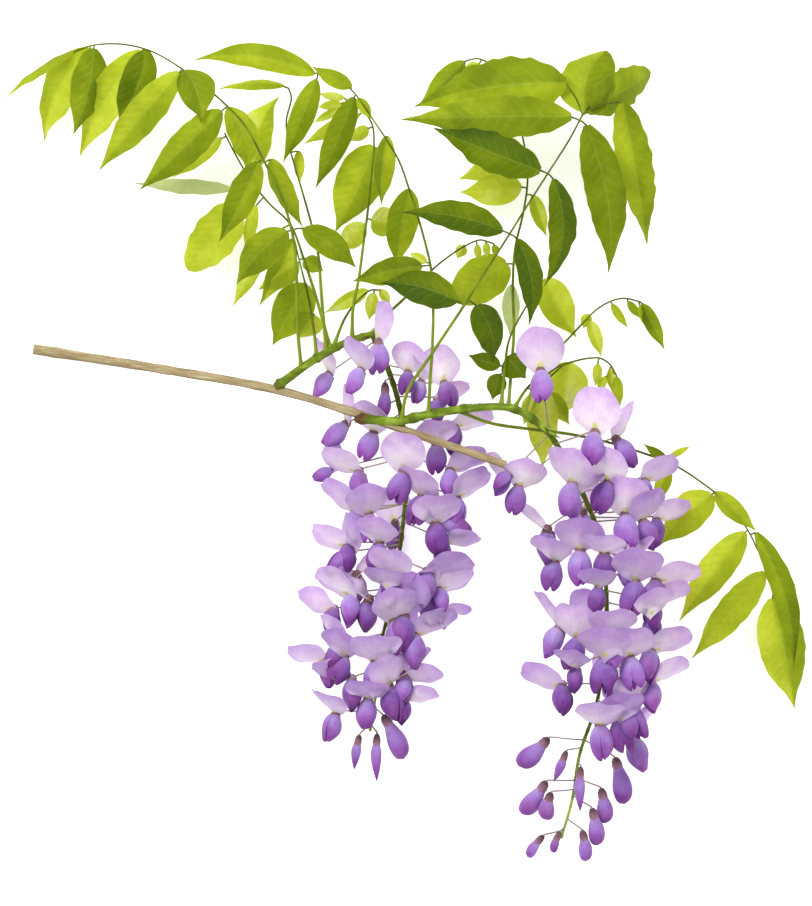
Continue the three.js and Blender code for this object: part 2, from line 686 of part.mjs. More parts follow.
function raceme(axisRows, flowers, buds, back, span, ceiling) {
  const route = axisRows.map(place);
  const parts = [tube([onShoot(route[0]), ...route], AXIS_FOOT_RADIUS, AXIS_END_RADIUS, 5, 12)];
  for (const [across, down, heading, rise, roll, scale, reflex, height] of flowers) {
    const { calyx, seat } = onRaceme(route, across, down, 1, reachAt(down, span));
    calyx.z = height ?? Math.min(calyx.z, ceiling(across, down));
    parts.push(...flower(calyx, seat, [heading, rise, roll, scale, reflex]));
  }
  for (const [across, down, tipAcross, tipDown, width] of buds) {
    const { calyx, seat } = onRaceme(route, across, down, 1, 14);
    const tip = place([tipAcross, tipDown, calyx.z - 4]);
    parts.push(...bud(calyx, tip, width, seat));
  }
  const [first, last, count] = back;
  const draw = drawFrom(count * 977 + 11);
  for (let i = 0; i < count; i++) {
    const down = THREE.MathUtils.lerp(first, last, i / (count - 1));
    const sideways = (i % 2 ? 1 : -1) * (4 + 16 * draw());
    const axis = nearestOn(route, place([PLOT_MIDDLE_ACROSS, down, 0]).setX(route[3].x));
    const across = axis.x + PLOT_MIDDLE_ACROSS + sideways;
    const { calyx, seat } = onRaceme(route, across, down, -1, reachAt(down, span) * 0.8);
    const heading = -90 + sideways * 1.6;
    const rise = -25 - 20 * draw();
    const scale = 0.95 + 0.15 * draw();
    parts.push(...flower(calyx, seat, [heading, rise, 0, scale, BACK_REFLEX]));
  }
  return joined(parts);
}

// ---- The branch ----

const stemRoute = STEM.map(place);
const stem = tube(stemRoute, STEM_FOOT_RADIUS, STEM_END_RADIUS, 8, 10);
const stemRoom = tube(stemRoute, STEM_FOOT_RADIUS + SEAT_GAP, STEM_END_RADIUS + SEAT_GAP, 8, 10);

// A shoot, thicker at its foot than at its end.
function shoot(rows, radius) {
  return tube(rows.map(place), radius * 1.15, radius * 0.85, 7, 9);
}

const leftShoot = shoot(LEFT_SHOOT, SHOOT_RADIUS).subtract(stemRoom);
const rightShoot = shoot(RIGHT_SHOOT, SHOOT_RADIUS).subtract(stemRoom);
const shootRoom = joined([
  shoot(LEFT_SHOOT, SHOOT_RADIUS + SEAT_GAP),
  shoot(RIGHT_SHOOT, SHOOT_RADIUS + SEAT_GAP),
  stemRoom,
]);

const GREEN_LEAF = { color: 0x9db32b, roughness: 0.5 };
const GREEN_SHOOT = { color: 0x7c9632, roughness: 0.5 };
const WOOD = { color: 0xb29a62, roughness: 0.8 };
const LILAC = { color: 0xb795d2, roughness: 0.6 };

const branch = new THREE.Group();

// Adds the part of a solid that is above the surface as a named mesh of the branch, without the
// slivers that a cut leaves beside it.
function add(name, solid, look) {
  const bodies = solid.trimByPlane([0, 0, 1], 0).decompose();
  const whole = bodies.reduce((best, b) => (b.volume() > best.volume() ? b : best));
  const mesh = whole.getMesh();
  const vertices = new Float32Array(mesh.numVert * 3);
  for (let i = 0; i < mesh.numVert; i++) {
    const at = i * mesh.numProp;
    vertices.set(mesh.vertProperties.subarray(at, at + 3), i * 3);
  }
  const geometry = new THREE.BufferGeometry();
  geometry.setAttribute("position", new THREE.BufferAttribute(vertices, 3));
  geometry.setIndex(new THREE.BufferAttribute(mesh.triVerts, 1));
  const piece = new THREE.Mesh(geometry, new THREE.MeshStandardMaterial(look));
  piece.name = name;
  branch.add(piece);
}

// How high a flower may stand where the stem passes over it.
function underStem(across, down) {
  const seat = nearestOn(stemRoute, place([across, down, 0]));
  const plan = place([across, down, 0]);
  const beside = Math.hypot(plan.x - seat.x, plan.y - seat.y);
  return beside < 16 ? seat.z - 16 : Infinity;
}

add("woody_stem", stem, WOOD);
add("shoot_left", leftShoot, GREEN_SHOOT);
add("shoot_right", rightShoot, GREEN_SHOOT);
for (const [name, rows] of Object.entries(LEAVES)) {
  add(name, leaf(rows).subtract(shootRoom), GREEN_LEAF);
}
add(
  "raceme_left",
  raceme(LEFT_AXIS, LEFT_FLOWERS, LEFT_BUDS, LEFT_BACK, { top: 180, bottom: 380 }, underStem)
    .subtract(shootRoom),
  LILAC,
);
add(
  "raceme_right",
  raceme(RIGHT_AXIS, RIGHT_FLOWERS, RIGHT_BUDS, RIGHT_BACK, { top: 215, bottom: 410 }, () => Infinity)
    .subtract(shootRoom),
  LILAC,
);

export default branch;
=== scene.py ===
"""A cut wisteria branch that lies on a pale surface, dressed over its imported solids.

Rows give a place as [across, down, height] in millimetres, as the solids' source does: across and
down are measured on the surface, from the corner of the plot that the branch covers.
"""

import math

import bpy
from mathutils import Matrix, Vector
from mathutils.bvhtree import BVHTree


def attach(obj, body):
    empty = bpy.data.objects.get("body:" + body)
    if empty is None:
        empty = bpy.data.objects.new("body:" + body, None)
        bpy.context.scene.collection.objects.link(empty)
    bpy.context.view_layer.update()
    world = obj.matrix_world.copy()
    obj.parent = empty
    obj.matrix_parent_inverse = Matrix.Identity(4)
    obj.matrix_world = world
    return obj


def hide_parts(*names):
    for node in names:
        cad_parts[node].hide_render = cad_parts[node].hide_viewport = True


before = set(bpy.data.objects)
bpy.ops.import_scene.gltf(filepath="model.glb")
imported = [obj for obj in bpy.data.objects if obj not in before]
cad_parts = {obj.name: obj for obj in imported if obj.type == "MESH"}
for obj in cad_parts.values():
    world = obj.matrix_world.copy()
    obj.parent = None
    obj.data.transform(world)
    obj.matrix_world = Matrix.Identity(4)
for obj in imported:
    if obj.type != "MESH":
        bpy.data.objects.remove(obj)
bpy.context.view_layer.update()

MM = 0.001
PLOT_MIDDLE_ACROSS = 202.5
PLOT_MIDDLE_DOWN = 226
FLOWER_SIZE = 12.5  # from the calyx to the tip of the keel
BANNER_SHARE = 0.82  # a banner's radius for each millimetre of its flower
RACEME_REACH = 31  # from a raceme's axis to its outermost calyx
RIB_ARCH = 0.32  # height of a leaflet's rib for each millimetre of t(1 - t)
BACK_REFLEX = 41  # how far the banners on the far side tip back, in degrees
SPOKES = 36  # the points round a banner
DRAPE_REACH = 32  # from a banner to the wings it may lie on
DRAPE_LIMIT = 8  # the most that a banner bends away from them at once
DRAPE_PASSES = 4
DRAPE_GAP = 1.4  # that a bent banner leaves to a wing
STEM_FOOT_RADIUS = 2.45
STEM_END_RADIUS = 1.9
STEM_SIDES = 28
SHOOT_RADIUS = 2.2
STEM_CLEARANCE = 16  # from the stem's middle line to a flower under it
FLOOR_CLEARANCE = 0.06  # of petals and leaves from the surface
BARK_CLEARANCE = 0.05
CUP_SIDES = 20
BUD_REACH = 14  # from a raceme's axis to a bud's cap
CAP_LENGTH = 5.2  # of a bud's cap
PHASE = 6.28  # the range of a drawn phase, one turn
DRAW_FACTOR, DRAW_MODULUS = 16807, 2147483647
STEM_STEPS, SHOOT_STEPS, STALK_STEPS, AXIS_STEPS = 170, 110, 90, 150
STEM_SEED = 4021
LEAF_SEED, LEAF_SEED_STEP = 1201, 37
SHOOT_SIDES = 18
END_SCALES = 6  # the green scales at a shoot's end
FINE_LENGTH = 24  # from here on a leaflet has the finer grid
SCALLOP_LENGTH = 38  # from here on its margin has scallops
VEIN_SPACING = 5.2
YELLOWEST = 0.09  # the lowest tone of a leaflet's upper side
DRAPE_RAY = 15  # from how far off a banner's point looks for a wing
SEAT_RISE = 7  # the most that a pedicel starts further up the axis
BUD_DROOP = 4  # from a bud's calyx to its tip
SLIM_BUD = 3  # times as long as wide

# ---- Routes, leaves and flowers ----

STEM = [
    [15.5, 174.2, 1.9], [36, 177.4, 2.1], [80, 184.4, 19], [138.5, 195, 39], [177.5, 206.5, 51],
    [199.5, 214.2, 57], [252.5, 232.3, 67],
]

LEFT_SHOOT = [
    [138, 193.5, 40], [149, 185.5, 43], [162, 177, 45], [175, 170.5, 47], [187, 167, 48],
]

RIGHT_SHOOT = [
    [178, 209, 51], [199.5, 210.5, 59], [213.5, 207.5, 62], [236.5, 204, 64], [254.5, 204, 63],
    [264.5, 208.5, 60], [273.5, 216, 56],
]

LEFT_AXIS = [
    [187.5, 170.5, 45], [194, 184.5, 42], [200, 204.5, 37], [203.5, 238, 31], [200.5, 270, 28],
    [196, 300, 26], [190.5, 322, 25], [187.5, 350, 22], [185, 366, 19],
]

RIGHT_AXIS = [
    [274.6, 217, 55], [288, 240, 44], [300, 270, 34], [303.5, 310, 27], [299, 350, 24], [290, 378, 20],
    [286.5, 400, 15], [281, 420, 11],
]

# A leaf is the route of its stalk and its leaflets: foot across and down, tip, width, then roll in
# degrees and bow, and 1 for a blunt tip.
LEAVES = {
    "leaf_left_arch": ([
        [148.5, 181.5, 46], [149, 165, 56], [148.5, 140, 66], [147, 120, 70], [141.5, 100.5, 70],
        [132, 80.5, 66], [122.5, 63, 62], [110, 50, 58], [90, 34, 52], [75, 25.5, 46], [60, 22, 40],
        [46, 22.5, 35], [38, 25, 32],
    ], [
        [37, 25.5, 1.5, 49.5, 16, 7, 50], [45, 24, 21, 70, -1, 20, 18, 3],
        [47, 24, 36, 67, 22, 18.5, -14, -1], [71, 25.5, 39, 78, 6, 20, 12, 3],
        [73.5, 25, 58, 65, 28, 18.5, -20, -1], [90, 36.5, 49, 85, 20, 18, 10, -1.5],
        [92.5, 35.5, 101, 62.5, 60, 19, 8, -3.5], [111, 56, 69.5, 95, 30, 18, 8],
        [114.5, 54, 123, 86, 38, 15, -6, -3], [129.5, 81.5, 109.5, 121, 44, 15.5, -12],
        [136, 80, 152, 114, 52, 12, 24], [144, 116, 118.5, 142.5, 52, 18, 6, 2.5],
        [152, 114.5, 178, 134, 50, 14, 8, -1.5],
    ]),
    "leaf_left_back": ([
        [164.5, 173.5, 41], [159, 152, 36], [152, 130, 31], [145, 112, 28], [134, 101, 26], [124, 88, 24],
        [116, 74, 22], [112, 66, 20],
    ], [
        [110.5, 68.5, 85.5, 88.5, 10, 9, 14], [116, 94, 65, 90.5, 8, 9, -30, 1],
        [119.5, 102.5, 93.5, 134.5, 4, 23, 4, 0, 1], [128, 102, 123.5, 127, 10, 7, 16],
        [133, 120, 115.5, 153.5, 6, 10, -12], [127, 83, 139.5, 47.5, 18, 18, 10, -5],
    ]),
    "leaf_left_low": ([
        [158.5, 179, 40], [157, 166, 33], [154, 148, 27], [150.5, 134, 23], [147.5, 122, 20],
    ], [
        [146.5, 119, 129, 152.5, 9, 12, -10], [149, 131, 129, 144.5, 10, 14, 20],
        [153.5, 142, 136, 172.5, 12, 21, 6], [157.5, 157, 149, 168.5, 16, 15, -8],
        [152, 129, 161.5, 135, 14, 9, 12],
    ]),
    "leaf_left_young": ([
        [162, 173.7, 49], [161, 150, 54], [159, 126, 54], [156, 113, 51], [151.5, 97, 44], [147, 82, 33],
        [144, 70, 26], [143, 60, 24], [145.5, 48, 23], [144, 43.5, 23],
    ], [
        [142, 42.5, 107, 45, 20, 8, 48, 1], [149.5, 75, 150, 92, 26, 6, 20],
    ]),
    "leaf_left_sprig": ([
        [165, 172, 42], [172.5, 159, 38], [179, 150, 35], [185.5, 145, 33], [190, 145, 32],
    ], [
        [184, 145, 162, 156.5, 26, 8, 20], [187, 146, 184.5, 160, 24, 7, 8],
        [190, 144.5, 195, 152, 28, 5, 0],
    ]),
    "leaf_middle": ([
        [175, 167.5, 50], [176.5, 155, 52], [179.5, 139, 52], [182, 120, 50], [184, 105, 47], [186, 85, 44],
        [187, 72.5, 42], [186, 62, 39], [181, 55, 36], [174, 50.5, 34],
    ], [
        [172.5, 49, 159, 46.5, 24, 4.5, 10], [171, 51.5, 159, 53, 20, 5, -10],
        [172, 54, 156.5, 61, 18, 4.5, 10], [180, 57, 151.5, 71.5, 12, 7.5, 0],
        [184.5, 64, 175.5, 70, 22, 7, 8], [187, 73, 167.5, 115.5, 16, 24, -4],
        [182.5, 112, 171, 124, 22, 12, 4], [185.5, 110, 200, 113, 26, 15, 0],
    ]),
    "leaf_upper": ([
        [213.5, 205.2, 65], [215, 190, 72], [216, 175, 77], [216.5, 155, 79], [215.5, 135.5, 77],
        [212, 120, 74], [208, 106, 71], [204.5, 95, 68], [199.5, 81, 65], [193, 70, 62], [186, 59.5, 59],
        [178.5, 48.5, 56], [172, 42, 54], [165, 38.5, 52], [159, 37, 51],
    ], [
        [157.5, 37, 96.5, 30, 34, 13.5, -8, 7], [158.5, 40, 141.5, 81, 31, 12.5, 6],
        [176, 44, 155.5, 33.5, 58, 8.5, 0], [177, 49, 157.5, 94, 30, 13.5, -10],
        [179, 49.5, 186, 60, 52, 6, 10], [194, 68.5, 191, 102.5, 40, 12, 30],
        [204.5, 95, 198, 134, 42, 16, -6], [211, 133.5, 176.5, 141, 56, 14, 8],
        [213.5, 132, 205, 127, 66, 5, 0],
    ]),
    "leaf_right_main": ([
        [200.5, 208, 61.5], [203.5, 196.5, 68], [216, 177, 84], [231, 154.5, 86], [242, 137, 84],
        [253, 120, 80], [263, 104, 75], [273.5, 87.5, 70], [284, 71, 64], [291, 58, 60],
    ], [
        [292, 57, 303, 25.5, 40, 29, -8, -4, 1], [294.5, 54, 325.5, 35.5, 22, 21, 20, 0, 1],
        [285.5, 59, 200, 60, 44, 22, 4, -1], [283, 42, 207, 53, 26, 30, 4, 3.5],
        [293, 63, 304.5, 136, 8, 21, -8, -3], [311, 51, 324.5, 121.5, -1, 19, 10],
        [270, 86, 216.5, 64, 50, 21, -12], [276.5, 90, 271, 144, 38, 15, -22, -5],
        [251, 116, 200.5, 107, 78, 16, -6, 4], [258.5, 120, 264, 163, 54, 13, -12, -3.5],
        [238, 153, 246, 182, 64, 16.5, -22, -3], [228.5, 151, 190, 142, 74, 18, 4, 2],
    ]),
    "leaf_right_back": ([
        [254, 201.5, 61], [255.5, 186, 44], [257, 165, 36], [256.5, 145, 32], [257.5, 125, 28],
        [262, 105, 24], [264, 89, 20], [262, 70, 16], [256, 50, 14], [250, 36, 14], [245, 31, 15],
        [239, 28.5, 16], [233.5, 29.5, 16],
    ], [
        [232.5, 30, 210, 51, 10, 11, 10], [240, 31, 231, 39, 10, 8, 0], [261, 93, 230, 95.5, 8, 16, 4, -1],
        [266.5, 97, 273.5, 118, 12, 8, -10], [254, 131.5, 226, 149.5, 8, 23, 0, 0, 1],
        [256, 142, 255.5, 168.5, 16, 9, 14], [259, 78, 229, 89, 6, 12, 0],
    ]),
    "leaf_right_mid": ([
        [250, 202, 61.5], [251.5, 192, 57], [252.5, 182, 54], [254.5, 170, 48], [262, 155, 40],
        [268, 146, 34],
    ], [
        [272.5, 139, 288.5, 168.5, 20, 17, 0, 1.5], [250, 183, 234, 177.5, 50, 9, -10],
        [253.5, 178.5, 263, 189.5, 56, 15, 6], [249.5, 187, 246, 200, 54, 10, 0],
    ]),
    "leaf_right_low": ([
        [257.5, 202.3, 60], [262, 196, 50], [267, 191, 41], [274, 189, 34], [281, 183, 29],
    ], [
        [270, 192, 271.5, 234, 14, 16, 4], [285, 181, 279, 210, 14, 22, -4],
        [275.5, 196, 285, 212, 20, 9, 12], [267.5, 197, 262, 212, 34, 9, 0],
    ]),
    "leaf_young_far": ([
        [261.5, 207, 58], [267, 192, 54], [272.5, 180, 44], [281.5, 172, 31], [292, 161, 30],
        [298, 155, 30], [305.5, 150.5, 30], [312.5, 149, 29], [319.5, 150.5, 28],
    ], [
        [295, 160, 301, 178.5, 22, 7, 0], [306, 151.5, 314.5, 164, 24, 4.5, 10],
        [314, 150.5, 320, 159, 24, 4.5, -10], [320, 152, 325.5, 165, 20, 5, 0],
        [321.5, 151.5, 333, 175, 18, 8, 12], [294.5, 157, 292, 164, 26, 6, 10],
    ]),
    "leaf_young_near": ([
        [265.5, 209, 57], [269.5, 196, 46], [276, 185, 38], [287.5, 180.5, 35], [295, 179, 34],
        [300, 179, 34], [305, 182, 33], [308, 187, 32],
    ], [
        [299, 181.5, 298, 193, 24, 5, 0], [303, 188, 299.5, 196, 26, 4.5, 0],
        [308.5, 188, 310.5, 204, 26, 6, 14], [305, 184, 306, 196, 28, 4.5, -12],
    ]),
    "leaf_middle_young": ([
        [184.5, 164.3, 50], [194, 157, 48], [202.5, 149, 46], [215.5, 135.5, 43], [224, 128.5, 42],
        [232.5, 123, 41], [240, 120, 40], [246, 121.5, 39],
    ], [
        [232, 122.5, 228.5, 129, 34, 6, 0], [238.5, 122, 239, 130, 32, 4, 0],
        [243, 121, 243.5, 128.5, 32, 4, 0], [247, 122, 248.5, 128, 34, 4, 0],
    ]),
    "leaf_far_right": ([
        [228, 208.1, 61], [245, 211.5, 53], [264.5, 214.5, 48], [284.5, 217, 45], [303.5, 221, 43],
        [320, 226, 42], [338, 233, 43], [356.5, 245.5, 45], [365.5, 253, 44], [373.5, 264.5, 41],
        [379, 275, 37], [383.5, 285, 33], [387, 297, 29],
    ], [
        [356, 247, 330, 273, 28, 19, 6, 2.5], [357.5, 245.8, 378.5, 265.5, 40, 10.5, 22, -1],
        [372.5, 266, 340, 311, 18, 17, -4, 1], [378, 266, 397.5, 335, 18, 12.5, 14, -6],
        [382.5, 286, 346.5, 330, 8, 16, 0, 1], [386.5, 299, 398.5, 355, -1, 24, -6],
        [333, 230, 321, 221.5, 50, 5, 0], [334, 229, 345.5, 223, 36, 3.5, 0],
        [334.5, 234, 327.5, 251.5, 32, 8, 8],
    ]),
}

# A flower: calyx across and down, heading, rise and roll in degrees, scale, how far its banner tips
# back in degrees, and its height where the raceme doesn't give it.
LEFT_FLOWERS = [
    [165, 186.5, -132, 14, 10, 1.05, 15], [181, 184.5, -128, 16, 0, 1.05, 15],
    [189.5, 171.5, -95, 10, 55, 1.15, 80, 61], [204, 186, -100, 30, 0, 0.9, 30, 50],
    [211, 190, -115, 0, 10, 0.9, 30, 46], [222, 192, -60, 45, 0, 1.1, 41, 47],
    [218.5, 200, -80, 28, -75, 1, 10, 44], [227, 213, -85, 28, -75, 1.15, 5],
    [173, 212, -140, 14, 25, 1.15, 35], [187, 216, -112, 15, 0, 1.1, 20],
    [179.5, 236, -100, 30, 65, 1.2, 10], [201.5, 236, -98, 20, 0, 1.2, 41],
    [218, 222, -88, 10, 0, 1.1, 20], [166, 235, -160, 20, 0, 0.8, 20],
    [178, 255.5, -102, 25, 60, 1.25, 20], [184.5, 257, -85, 26, 10, 1.1, 15],
    [225, 235, -85, 28, -70, 1.15, 10], [211, 248, -112, 20, 0, 1.15, 12],
    [228, 249, -80, 30, -60, 1.2, 20], [220.5, 260, -15, 10, 0, 1.2, 20],
    [217.5, 261.5, -84, 22, 0, 1.25, 12], [173.5, 273, -100, 30, 75, 1.1, 10],
    [190, 271, -100, 12, 0, 1.15, 15], [222.5, 271, -95, 28, -80, 1, 0],
    [175, 276.5, -150, 15, 0, 1.15, 15], [197, 288, -110, 22, 0, 1.2, 10],
    [213.5, 286.5, -88, 28, -80, 1.35, 5], [219, 294.5, -75, 30, -75, 1.15, 10],
    [176, 297.5, -105, 28, 65, 1.2, 12], [202, 308, -95, 25, 0, 1.35, 41],
    [184.5, 300, -108, -18, 0, 1.25, 25], [178.5, 287.5, -80, -20, 0, 1.1, 30],
    [193, 293, -95, 10, 0, 1.05, 15], [167, 305, -110, 30, 80, 1.15, 5],
    [223.5, 306, -95, 28, -80, 0.7, 0], [212.5, 299, -65, 20, 0, 1.1, 20],
    [207, 317.5, -80, 28, -70, 1.35, 10], [163.5, 330, -95, 28, 80, 1.15, 0],
    [170, 322, -125, 15, 20, 1, 15], [172.5, 328, -110, 15, 0, 1.1, 15],
    [188, 330.5, -92, 20, 0, 1.35, 8], [197, 311, -78, 20, 0, 1.25, 20],
    [201.5, 337.5, -75, -15, 0, 1.1, 25], [203, 339.5, -92, 28, -80, 1.05, 0],
    [176, 340, -98, 25, 75, 1.2, 5], [202, 350, -88, 28, -80, 1, 0], [194, 343, -68, 15, 0, 1.35, 20],
    [184, 349, -92, 15, 0, 1.15, 5], [168, 357, -115, 8, 0, 1.1, 10],
]

RIGHT_FLOWERS = [
    [270, 186, -90, 40, 0, 1.25, 41, 68], [297, 216.5, -105, 30, 0, 1.3, 41],
    [308, 220, -50, -8, -45, 1.2, 20], [286, 241.5, -110, 22, 0, 1.3, 15],
    [287, 247, -88, -20, 0, 1, 25], [304, 241, -115, 22, 0, 1.25, 20],
    [312.5, 257, -92, 25, 0, 1.3, 22], [322, 240, -85, 28, -60, 1.1, 15, 50],
    [328, 259.5, -85, 28, -75, 1.05, 10, 47], [321, 260, -67, 13, 0, 1.15, 20],
    [259, 243, -100, 25, -30, 1.1, 15], [254.5, 237, -140, 28, 90, 1, 0],
    [273.5, 265, -100, -12, 45, 1.25, 25], [277.5, 280, -105, 12, 0, 1.15, 10],
    [290, 275, -95, 20, 0, 1.3, 18], [302, 276, -95, 10, 0, 1.25, 5], [299, 293, -95, 12, 0, 1, 10],
    [313, 280, -80, -18, 0, 1, 25], [317, 290, -92, 22, -10, 1.35, 12],
    [328, 290, -92, 28, -80, 1.3, 5], [326, 301, -80, 28, -75, 1.15, 8],
    [325, 307, -75, 15, 0, 1.1, 15], [280, 313.5, -125, -8, 45, 1.25, 15],
    [289, 319, -108, 20, 0, 1.25, 20], [306, 317, -90, 22, 0, 1.25, 6],
    [281, 343, -98, 28, 80, 1.25, 8], [288, 333, -105, 10, 0, 1, 10], [302, 328, -90, 10, 0, 1.4, 20],
    [314.5, 328, -85, 20, 0, 1.25, 15], [325, 325, -85, 28, -78, 1.25, 8],
    [325, 341, -75, 28, -75, 1.25, 8], [313, 353, -60, 25, -20, 1.35, 15],
    [300, 362.5, -88, 22, 0, 1.3, 3], [309, 360, -80, 15, 0, 1.25, 15],
    [316, 369, -62, 12, 0, 1.35, 15],
]

# A bud: calyx across and down, tip across and down, width.
LEFT_BUDS = [
    [179.5, 368.5, 176, 385, 5], [188.5, 368, 187, 391, 5.5], [192.5, 192, 193, 209, 7],
    [192, 358.5, 204, 378.5, 10],
]

RIGHT_BUDS = [
    [274, 370, 261, 385, 10.5], [283, 376.5, 278, 391.5, 4.8], [308, 380, 315, 402, 10],
    [273, 392, 263, 409, 9.5], [275.5, 397.5, 271.5, 410, 8.5], [290.5, 384.5, 289, 406, 5.5],
    [301, 395.5, 305, 412, 8.5], [296.5, 405.5, 301, 423, 8.5], [291.5, 416.5, 295, 431, 7],
    [271.5, 419, 263, 428.5, 5.5], [280, 417, 275.5, 426.5, 4.5],
]

# The flowers on the far side: first and last down, and how many.
LEFT_BACK = [262, 318, 2]

RIGHT_BACK = [256, 340, 4]

# How green each leaflet is: below 0 a pale underside, 0.1 bright yellow-green and 1 dark green.
TONES = {
    "leaf_left_arch": [0.4, 0.25, 0.6, 0.22, 0.7, 0.37, 0.57, 0.52, 0.35, 0.53, 0.48, 0.56, 0.47],
    "leaf_left_back": [0.1, -0.1, 0.21, 0.15, 0.15, 0.13],
    "leaf_left_low": [0.4, 0.31, 0.5, 0.35, 0.43],
    "leaf_left_young": [0.25, 0.24],
    "leaf_left_sprig": [0.15, 0.1, 0.18],
    "leaf_middle": [0.09, 0.14, 0.1, 0.24, 0.09, 0.4, 0.13, 0.1],
    "leaf_upper": [0.42, 0.58, 0.42, 0.64, 0.3, 0.52, 0.5, 0.63, 0.1],
    "leaf_right_main": [0.47, 0.5, 0.55, 0.5, 0.63, 0.45, 0.82, 0.85, 0.82, 0.92, 0.93, 0.85],
    "leaf_right_back": [0.57, 0.09, 0.16, 0.24, 0.4, -0.1, 0.22],
    "leaf_right_mid": [0.17, 0.8, 0.8, 0.85],
    "leaf_right_low": [0.09, 0.17, 0.3, 0.09],
    "leaf_young_far": [0.09, 0.38, 0.52, 0.3, 0.62, 0.2],
    "leaf_young_near": [0.1, 0.1, 0.4, 0.22],
    "leaf_middle_young": [0.12, 0.1, 0.12, 0.43],
    "leaf_far_right": [0.3, 0.36, 0.28, 0.58, 0.3, 0.33, 0.65, 0.24, 0.3],
}

# How far the margins of a leaf's leaflets ripple, against the usual 1.
FRILLS = {"leaf_right_main": 1.6, "leaf_left_back": 1.5, "leaf_left_arch": 1.3, "leaf_far_right": 1.3}

# ---- Small tools ----


def place(row):
    return Vector((row[0] - PLOT_MIDDLE_ACROSS, PLOT_MIDDLE_DOWN - row[1], row[2]))


def lerp(a, b, t):
    return a + (b - a) * t


def turns(count):
    """Equal turns round a ring, in radians."""
    return [2 * math.pi * k / count for k in range(count)]


def shares(count):
    """count + 1 even shares, from 0 to 1."""
    return [i / count for i in range(count + 1)]


def smoothstep(value, low, high):
    t = min(max((value - low) / (high - low), 0), 1)
    return t * t * (3 - 2 * t)


def draw_from(seed):
    """A seeded draw, evenly spread from 0 to 1."""
    state = [seed]

    def draw():
        state[0] = state[0] * DRAW_FACTOR % DRAW_MODULUS
        return state[0] / DRAW_MODULUS

    return draw


def curve_through(points, per=14):
    """A dense line through the points: a centripetal Catmull-Rom curve."""
    line = []
    last = len(points) - 1
    for i in range(last):
        b, c = points[i], points[i + 1]
        a = points[i - 1] if i > 0 else 2 * b - c
        d = points[i + 2] if i + 2 <= last else 2 * c - b
        ab, bc, cd = (max((q - p).length, 1e-4) ** 0.5 for p, q in ((a, b), (b, c), (c, d)))
        leave = ((b - a) / ab - (c - a) / (ab + bc) + (c - b) / bc) * bc
        arrive = ((c - b) / bc - (d - b) / (bc + cd) + (d - c) / cd) * bc
        for k in range(per):
            t = k / per
            squared = 3 * (c - b) - 2 * leave - arrive
            cubed = 2 * (b - c) + leave + arrive
            line.append(b + leave * t + squared * t * t + cubed * t ** 3)
    line.append(points[-1].copy())
    return line


def evenly(line, count):
    """count + 1 points at equal steps along a line."""
    lengths = [0]
    for p, q in zip(line, line[1:]):
        lengths.append(lengths[-1] + (q - p).length)
    out = []
    at = 0
    for i in range(count + 1):
        want = lengths[-1] * i / count
        while at < len(line) - 2 and lengths[at + 1] < want:
            at += 1
        share = (want - lengths[at]) / max(lengths[at + 1] - lengths[at], 1e-9)
        out.append(line[at].lerp(line[at + 1], min(share, 1)))
    return out


def foot_on(lines, point):
    """The place nearest to a point on the nearest of several lines."""
    return min((nearest_on(line, point) for line in lines), key=lambda place_on: (place_on - point).length)


def nearest_on(line, point):
    """The place on a line that is nearest to a point on the surface plan."""
    return min(line, key=lambda p: (p.x - point.x) ** 2 + (p.y - point.y) ** 2)


def rounded(along, *sides):
    """Makes a direction square to another, and a unit long."""
    for side in sides:
        along = along - side * along.dot(side)
    return along.normalized()


